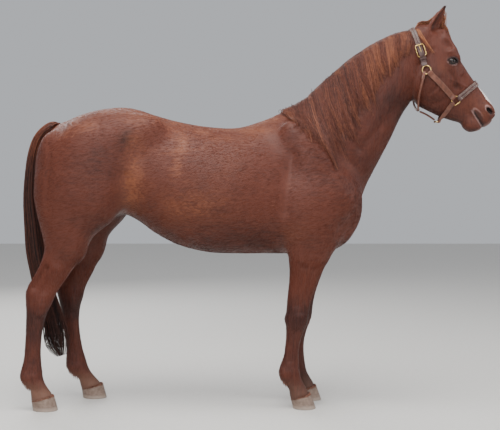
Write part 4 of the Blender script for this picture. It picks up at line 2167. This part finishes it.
def tube_mesh(name, path, radius, finish, sides=14):
    """A round roll along a path, with rounded ends; its radius is one number, or one for each point."""
    run = unit(np.gradient(path, axis=0))
    side = np.cross(run, [0.0, 0.0, 1.0])
    weak = np.linalg.norm(side, axis=1) < 0.2
    side[weak] = np.cross(run[weak], [0.0, 1.0, 0.0])
    side = unit(side)
    for i in range(1, len(side)):
        if side[i] @ side[i - 1] < 0:
            side[i] = -side[i]
    up = np.cross(run, side)
    radius = np.broadcast_to(np.asarray(radius, float), (len(path),)).copy()
    radius[0], radius[-1] = radius[0] * 0.55, radius[-1] * 0.55
    turn = turns(sides)
    rings = path[:, None] + radius[:, None, None] * (
        np.cos(turn)[None, :, None] * side[:, None] + np.sin(turn)[None, :, None] * up[:, None])
    mesh = ringed_mesh(name, rings)
    write_attribute(mesh, "across", np.tile(0.4 + 0.6 * smooth(0.985, 1, np.cos(turn)), (len(path), 1)))
    mesh.materials.append(finish)
    return add_object(name, mesh)


def keeper(name, line, along, reach, low, high, finish):
    """A leather loop round a strap: how far it reaches across, and its lowest and highest level."""
    outline = square_outline(2 * reach, high - low, 2.5, 5, 4)
    at, side = line.place(np.array([along]), np.array([(low + high) / 2]))
    ahead, _ = line.place(np.array([along + 1]), np.array([(low + high) / 2]))
    run = unit(ahead - at)[0]
    side = unit(side[0])
    out = np.cross(run, side)
    path = at[0] + outline[:, :1] * side + outline[:, 1:] * out
    sides = np.tile(run, (len(path), 1))
    piece, _ = band_mesh(name, path, sides, KEEPER_WIDTH, finish, KEEPER_THICK, again=True)
    settle_piece(piece, "halter_leather")


def chin_width(along, length):
    """How wide the chin strap is: it narrows toward its ring."""
    share = smooth(6, 40, length - np.minimum(along, length))
    return CHIN_END_WIDTH + (CHIN_WIDTH - CHIN_END_WIDTH) * share


def add_halter():
    """The straps from ring to ring, with their stitches; the rolled straps and the chin ring come last."""
    dark = leather_finish("leather_dark", paint(52, 32, 30), paint(92, 62, 56), paint(30, 20, 18))
    brown = leather_finish("leather_brown", paint(76, 42, 32), paint(124, 74, 54), paint(44, 26, 22))
    brass = brass_finish()
    pale = thread_finish("thread_pale", paint(206, 190, 178), paint(150, 126, 114))
    dull = thread_finish("thread_brown", paint(128, 92, 76), paint(92, 62, 50))
    ring_wire, square_wire = (FITTING_LEVEL, RING_WIRE), (FITTING_LEVEL, SQUARE_WIRE)
    pale_rows, dull_rows = [], []
    half = NOSE_SQUARE_SIDE / 2
    for side, label in SIDES.items():
        wire_loop(f"cheek_ring_{label}", round_outline(CHEEK_RING_RADIUS),
                  seat(CHEEK_RING, side, FITTING_LEVEL, HEAD_RISE), RING_WIRE, brass)
        wire_loop(f"nose_square_{label}", square_outline(NOSE_SQUARE_SIDE, NOSE_SQUARE_SIDE, 8),
                  seat(NOSE_SQUARE, side, FITTING_LEVEL, NOSE_SQUARE_RISE), SQUARE_WIRE, brass)
        cheek = StrapLine(side_line(toward(CHEEK_RING, NOSE_SQUARE, CHEEK_RING_RADIUS),
                                    toward(NOSE_SQUARE, CHEEK_RING, half), side))
        laid = strap(f"cheek_strap_{label}", cheek, STRAP_WIDTH, brown, (ring_wire, square_wire),
                     nodes=[f"halter_cheek_strap_{label}"])
        dull_rows += [row_on(*laid, across) for across in (-10.6, 10.6)]
        chin_laid = on_side([toward(NOSE_SQUARE, CHIN_LAID[0], half), *CHIN_LAID], side)
        chin_laid += unit(slope_of(chin_laid)) * 2
        away = unit(np.array([11.0, side * 18.0, 0]))
        ring_spot = np.array(CHIN_RING) + away * CHIN_RING_RADIUS
        spots = [*chin_laid, *[mirrored(p, side) for p in CHIN_FREE], ring_spot]
        chin = StrapLine(smooth_line(spots, 3.0), np.array([-away[1], away[0], 0]))
        wires = ((FITTING_LEVEL - 2, SQUARE_WIRE), (0, CHIN_WIRE))
        laid = strap(f"chin_strap_{label}", chin, chin_width, brown, wires, (5.2, 2.5),
                     [f"halter_chin_strap_{label}"])
        dull_rows += [row_on(*laid, across, 2) for across in (-5.0, 5.0)]
        add_buckle(side, label, dark, brass, ring_wire)
    start = [toward(NOSE_SQUARE, NOSEBAND_END, half)]
    spots = [on_side(start, -1), hoop_line(NOSEBAND_END, NOSEBAND_TOP), on_side(start, 1)]
    noseband = StrapLine(smooth_line(np.concatenate(spots)[::2], 3.0))
    laid = strap("noseband", noseband, STRAP_WIDTH, dark, (square_wire, square_wire),
                 nodes=["halter_noseband"])
    pale_rows += [row_on(*laid, across) for across in (-10.8, -5.6, 5.6, 10.8)]
    pale_rows += add_crown(dark)
    stitch_rows("stitching_pale", pale_rows, pale)
    stitch_rows("stitching_brown", dull_rows, dull)
    add_rolls(brown, ring_wire)
    level_axes = (np.array(CHIN_RING), *np.eye(3))
    wire_loop("chin_ring", round_outline(CHIN_RING_RADIUS, 40), level_axes, CHIN_WIRE, brass)


CROWN_TIP = 18  # how far the crown strap's tip runs on past the buckle's lower bar
STITCHES_FROM, HOLES_FROM = 66, (70, 92)  # how far past that bar the stitches start and the holes lie
BUCKLE_LEVEL = 10.2
HOLE_RINGS = [(0.05, -0.8), (2.4, -0.8), (3.0, 0.15), (2.5, 0.32), (1.8, 0.05), (0.05, -0.2)]  # radius, lift
TONGUE = [(-1, 13.2), (4, 14.6), (14, 13.0), (26, 12.4), (40, 13.6), (52, 14.6), (59.5, 14.2)]  # along, over
# Levels over the skin along the crown strap's end, from its tip: through the buckle and under its top bar
CROWN_LEVELS = [
    (0, 10.6),
    (8, 11.0),
    (CROWN_TIP, 17.2),
    (34, 14.2),
    (52, 8.2),
    (CROWN_TIP + BUCKLE_HEIGHT, 5.6),
    (98, 5.4),
]


def buckle_bars():
    down = sloped(BUCKLE_RISE)[0][[0, 2]]
    middle = np.array(BUCKLE, float)
    return middle + down * BUCKLE_HEIGHT / 2, middle - down * BUCKLE_HEIGHT / 2


def add_buckle(side, label, dark, brass, ring_wire):
    """The buckle, its tongue, and the short strap that ties it to the cheek ring."""
    low_bar, high_bar = buckle_bars()
    at = seat(BUCKLE, side, BUCKLE_LEVEL, BUCKLE_RISE)
    wire_loop(f"buckle_{label}", square_outline(BUCKLE_HEIGHT, BUCKLE_WIDTH, 8), at, BUCKLE_WIRE, brass)
    billet = StrapLine(side_line(toward(CHEEK_RING, CROWN_END, CHEEK_RING_RADIUS), low_bar, side))
    strap(f"billet_{label}", billet, STRAP_WIDTH, dark, (ring_wire, (BUCKLE_LEVEL, BUCKLE_WIRE)), (6.8, 6.8))
    keeper(f"keeper_{label}", billet, billet.length - 12, STRAP_WIDTH / 2 + 2.2, 3.6, 14.6, dark)
    tongue = StrapLine(side_line(low_bar, high_bar, side))
    path, _ = tongue.place(*zip(*TONGUE))
    roll = tube_mesh(f"buckle_tongue_{label}", smooth_line(path, 3), 1.9, brass, 10)
    settle_piece(roll, "halter_brass")


def add_crown(dark):
    """The crown strap, from the tip under one keeper over the poll to the other; returns its stitch rows."""
    low_bar, high_bar = buckle_bars()
    tip = low_bar + sloped(BUCKLE_RISE)[0][[0, 2]] * CROWN_TIP
    hoop = hoop_line(high_bar, CROWN_TOP)
    right = side_line(tip, high_bar, -1, 6)[:-1]
    left = side_line(tip, high_bar, 1, 6)[:-1][::-1]
    line = StrapLine(smooth_line(np.concatenate([right[::2], hoop[2:-2:5], left[::2]]), 3.0))
    from_tip = np.minimum(line.at, line.length - line.at)
    over = np.interp(from_tip, *zip(*CROWN_LEVELS))
    over = np.convolve(np.pad(over, 2, mode="edge"), np.ones(5) / 5, mode="valid")
    path, side = line.place(line.at, over)
    width = np.minimum(STRAP_WIDTH - 2, 10 + 16 * np.sqrt(np.clip(from_tip / 12, 0, 1)))
    piece, out = band_mesh("crown_strap", path, side, width, dark)
    settle_piece(piece, "halter_leather", "halter_crown_strap")
    shown = from_tip > CROWN_TIP + STITCHES_FROM
    rows = [row_on(path[shown], side[shown], out[shown], across) for across in (-10, -5.2, 5.2, 10)]
    holes = []
    for from_bar in HOLES_FROM:
        for place in (CROWN_TIP + from_bar, line.length - CROWN_TIP - from_bar):
            at = np.argmin(np.abs(line.at - place))
            holes.append((path[at] + out[at] * (LEATHER / 2 + 0.2), out[at], side[at]))
    add_holes(holes)
    return rows


def add_holes(holes):
    """Punched holes, as small dark dimples with a pressed rim."""
    black = thread_finish("punched_hole", paint(22, 15, 13), paint(14, 10, 9))
    made = bmesh.new()
    for at, out, side in holes:
        across = np.cross(out, side)
        round_it = round_outline(1.0, 16) @ np.stack([side, across])
        rings = [at + round_it * radius + out * lift for radius, lift in HOLE_RINGS]
        one = ringed_mesh("hole", np.array(rings))
        made.from_mesh(one)
        bpy.data.meshes.remove(one)
    mesh = bpy.data.meshes.new("punched_holes")
    made.to_mesh(mesh)
    made.free()
    mesh.materials.append(black)
    settle_piece(add_object("punched_holes", mesh), "halter_leather")


def add_rolls(brown, ring_wire):
    """The rolled throat strap with its flat tabs at the cheek rings, and the rolled strap under the jaw."""
    route = [mirrored(p, -1) for p in THROAT_ROUTE] + [np.array(p, float) for p in THROAT_ROUTE[-2::-1]]
    roll = tube_mesh("throat_strap", smooth_line(route, 4), ROLL_RADIUS, brown)
    settle_piece(roll, "halter_leather", "halter_throat_strap")
    path = smooth_line(JAW_ROUTE, 4)
    settle_piece(tube_mesh("jaw_strap", path, ROLL_RADIUS - 0.6, brown), "halter_leather", "halter_jaw_strap")
    for side, label in SIDES.items():
        top = np.array(CHEEK_RING, float) + np.array([-0.42, -0.91]) * CHEEK_RING_RADIUS
        start = on_side([top], side)[0]
        first, second = mirrored(THROAT_ROUTE[0], side), mirrored(THROAT_ROUTE[1], side)
        end = first + (second - first) * 0.35
        spots = np.array([start, start + (end - start) * 0.5, end])
        tab = StrapLine(smooth_line(spots, 3.0))
        strap(f"throat_tab_{label}", tab, THROAT_TAB_WIDTH, brown, (ring_wire, None), (6.5, 4.2))
    add_loop("throat_loop", np.array(THROAT_ROUTE[-1]), ROLL_RADIUS + 1.4, brown)
    add_loop("chin_loop", np.array(CHIN_RING) - np.array([CHIN_RING_RADIUS, 0, 0]), CHIN_WIRE + 1.3, brown)


def add_loop(name, at, radius, finish):
    """A leather loop round a roll or a wire, that runs out to the jaw strap."""
    flat = round_outline(radius, 32)
    path = at + np.stack([flat[:, 0], 0 * flat[:, 0], flat[:, 1]], 1)
    sides = np.tile([0.0, 1.0, 0.0], (len(path), 1))
    piece, _ = band_mesh(name, path, sides, LOOP_WIDTH, finish, LOOP_THICK, again=True)
    settle_piece(piece, "halter_leather")


stitch = stitch_shape()
stitches_tree = stitch_growth()
add_halter()
drop(stitch)

# ---- setting


def add_floor():
    """A plain pale floor that runs far past the view."""
    mesh = bpy.data.meshes.new("floor")
    mesh.from_pydata([(-14, -10, 0), (14, -10, 0), (14, 14, 0), (-14, 14, 0)], [], [(0, 1, 2, 3)])
    f = Finish("floor")
    speckle = f.noise(40, 3)
    color = f.mix(paint(206, 203, 198), paint(218, 216, 212), speckle)
    mesh.materials.append(f.finish(color, 0.7 + (speckle - 0.5) * 0.1))
    add_object("floor", mesh)


def add_lamp(name, place, target, size, power, color=(1, 1, 1)):
    """A soft square lamp that looks at a target."""
    data = bpy.data.lights.new(name, "AREA")
    data.size = size
    data.energy = power
    data.color = color
    lamp = bpy.data.objects.new(name, data)
    lamp.location = place
    lamp.rotation_euler = (Vector(target) - Vector(place)).to_track_quat("-Z", "Y").to_euler()
    bpy.context.scene.collection.objects.link(lamp)


SENSOR, LENS = 36, 82.66
CAMERA = (-0.030, -5.8, 1.150)  # metres, in the plan's frame
CAMERA_DIP = math.atan(38 / 1148)  # how far it looks down


def add_camera():
    data = bpy.data.cameras.new("camera")
    data.sensor_width, data.lens = SENSOR, LENS
    camera = bpy.data.objects.new("camera", data)
    camera.location = (CAMERA[0] + SHIFT[0] * MM, *CAMERA[1:])
    camera.rotation_euler = (math.pi / 2 - CAMERA_DIP, 0, 0)
    bpy.context.scene.collection.objects.link(camera)
    bpy.context.scene.camera = camera


def add_world():
    world = bpy.data.worlds.new("studio")
    world.use_nodes = True
    light = world.node_tree.nodes["Background"].inputs
    light["Color"].default_value = (0.92, 0.95, 1.0, 1)
    light["Strength"].default_value = 0.55
    bpy.context.scene.world = world


add_floor()
add_camera()
add_world()
add_lamp("overhead", (-0.6, -1.6, 5.2), (0, 0, 1.0), 4.0, 330, (1, 0.985, 0.96))
add_lamp("front_side", (-1.0, -6.5, 3.2), (0, 0, 1.1), 3.5, 170)
add_lamp("head_side", (4.2, -1.5, 2.8), (0.7, 0, 1.4), 2.2, 70)
add_lamp("far_side", (-2.5, 4.6, 3.6), (0, 0, 1.2), 3.0, 150)
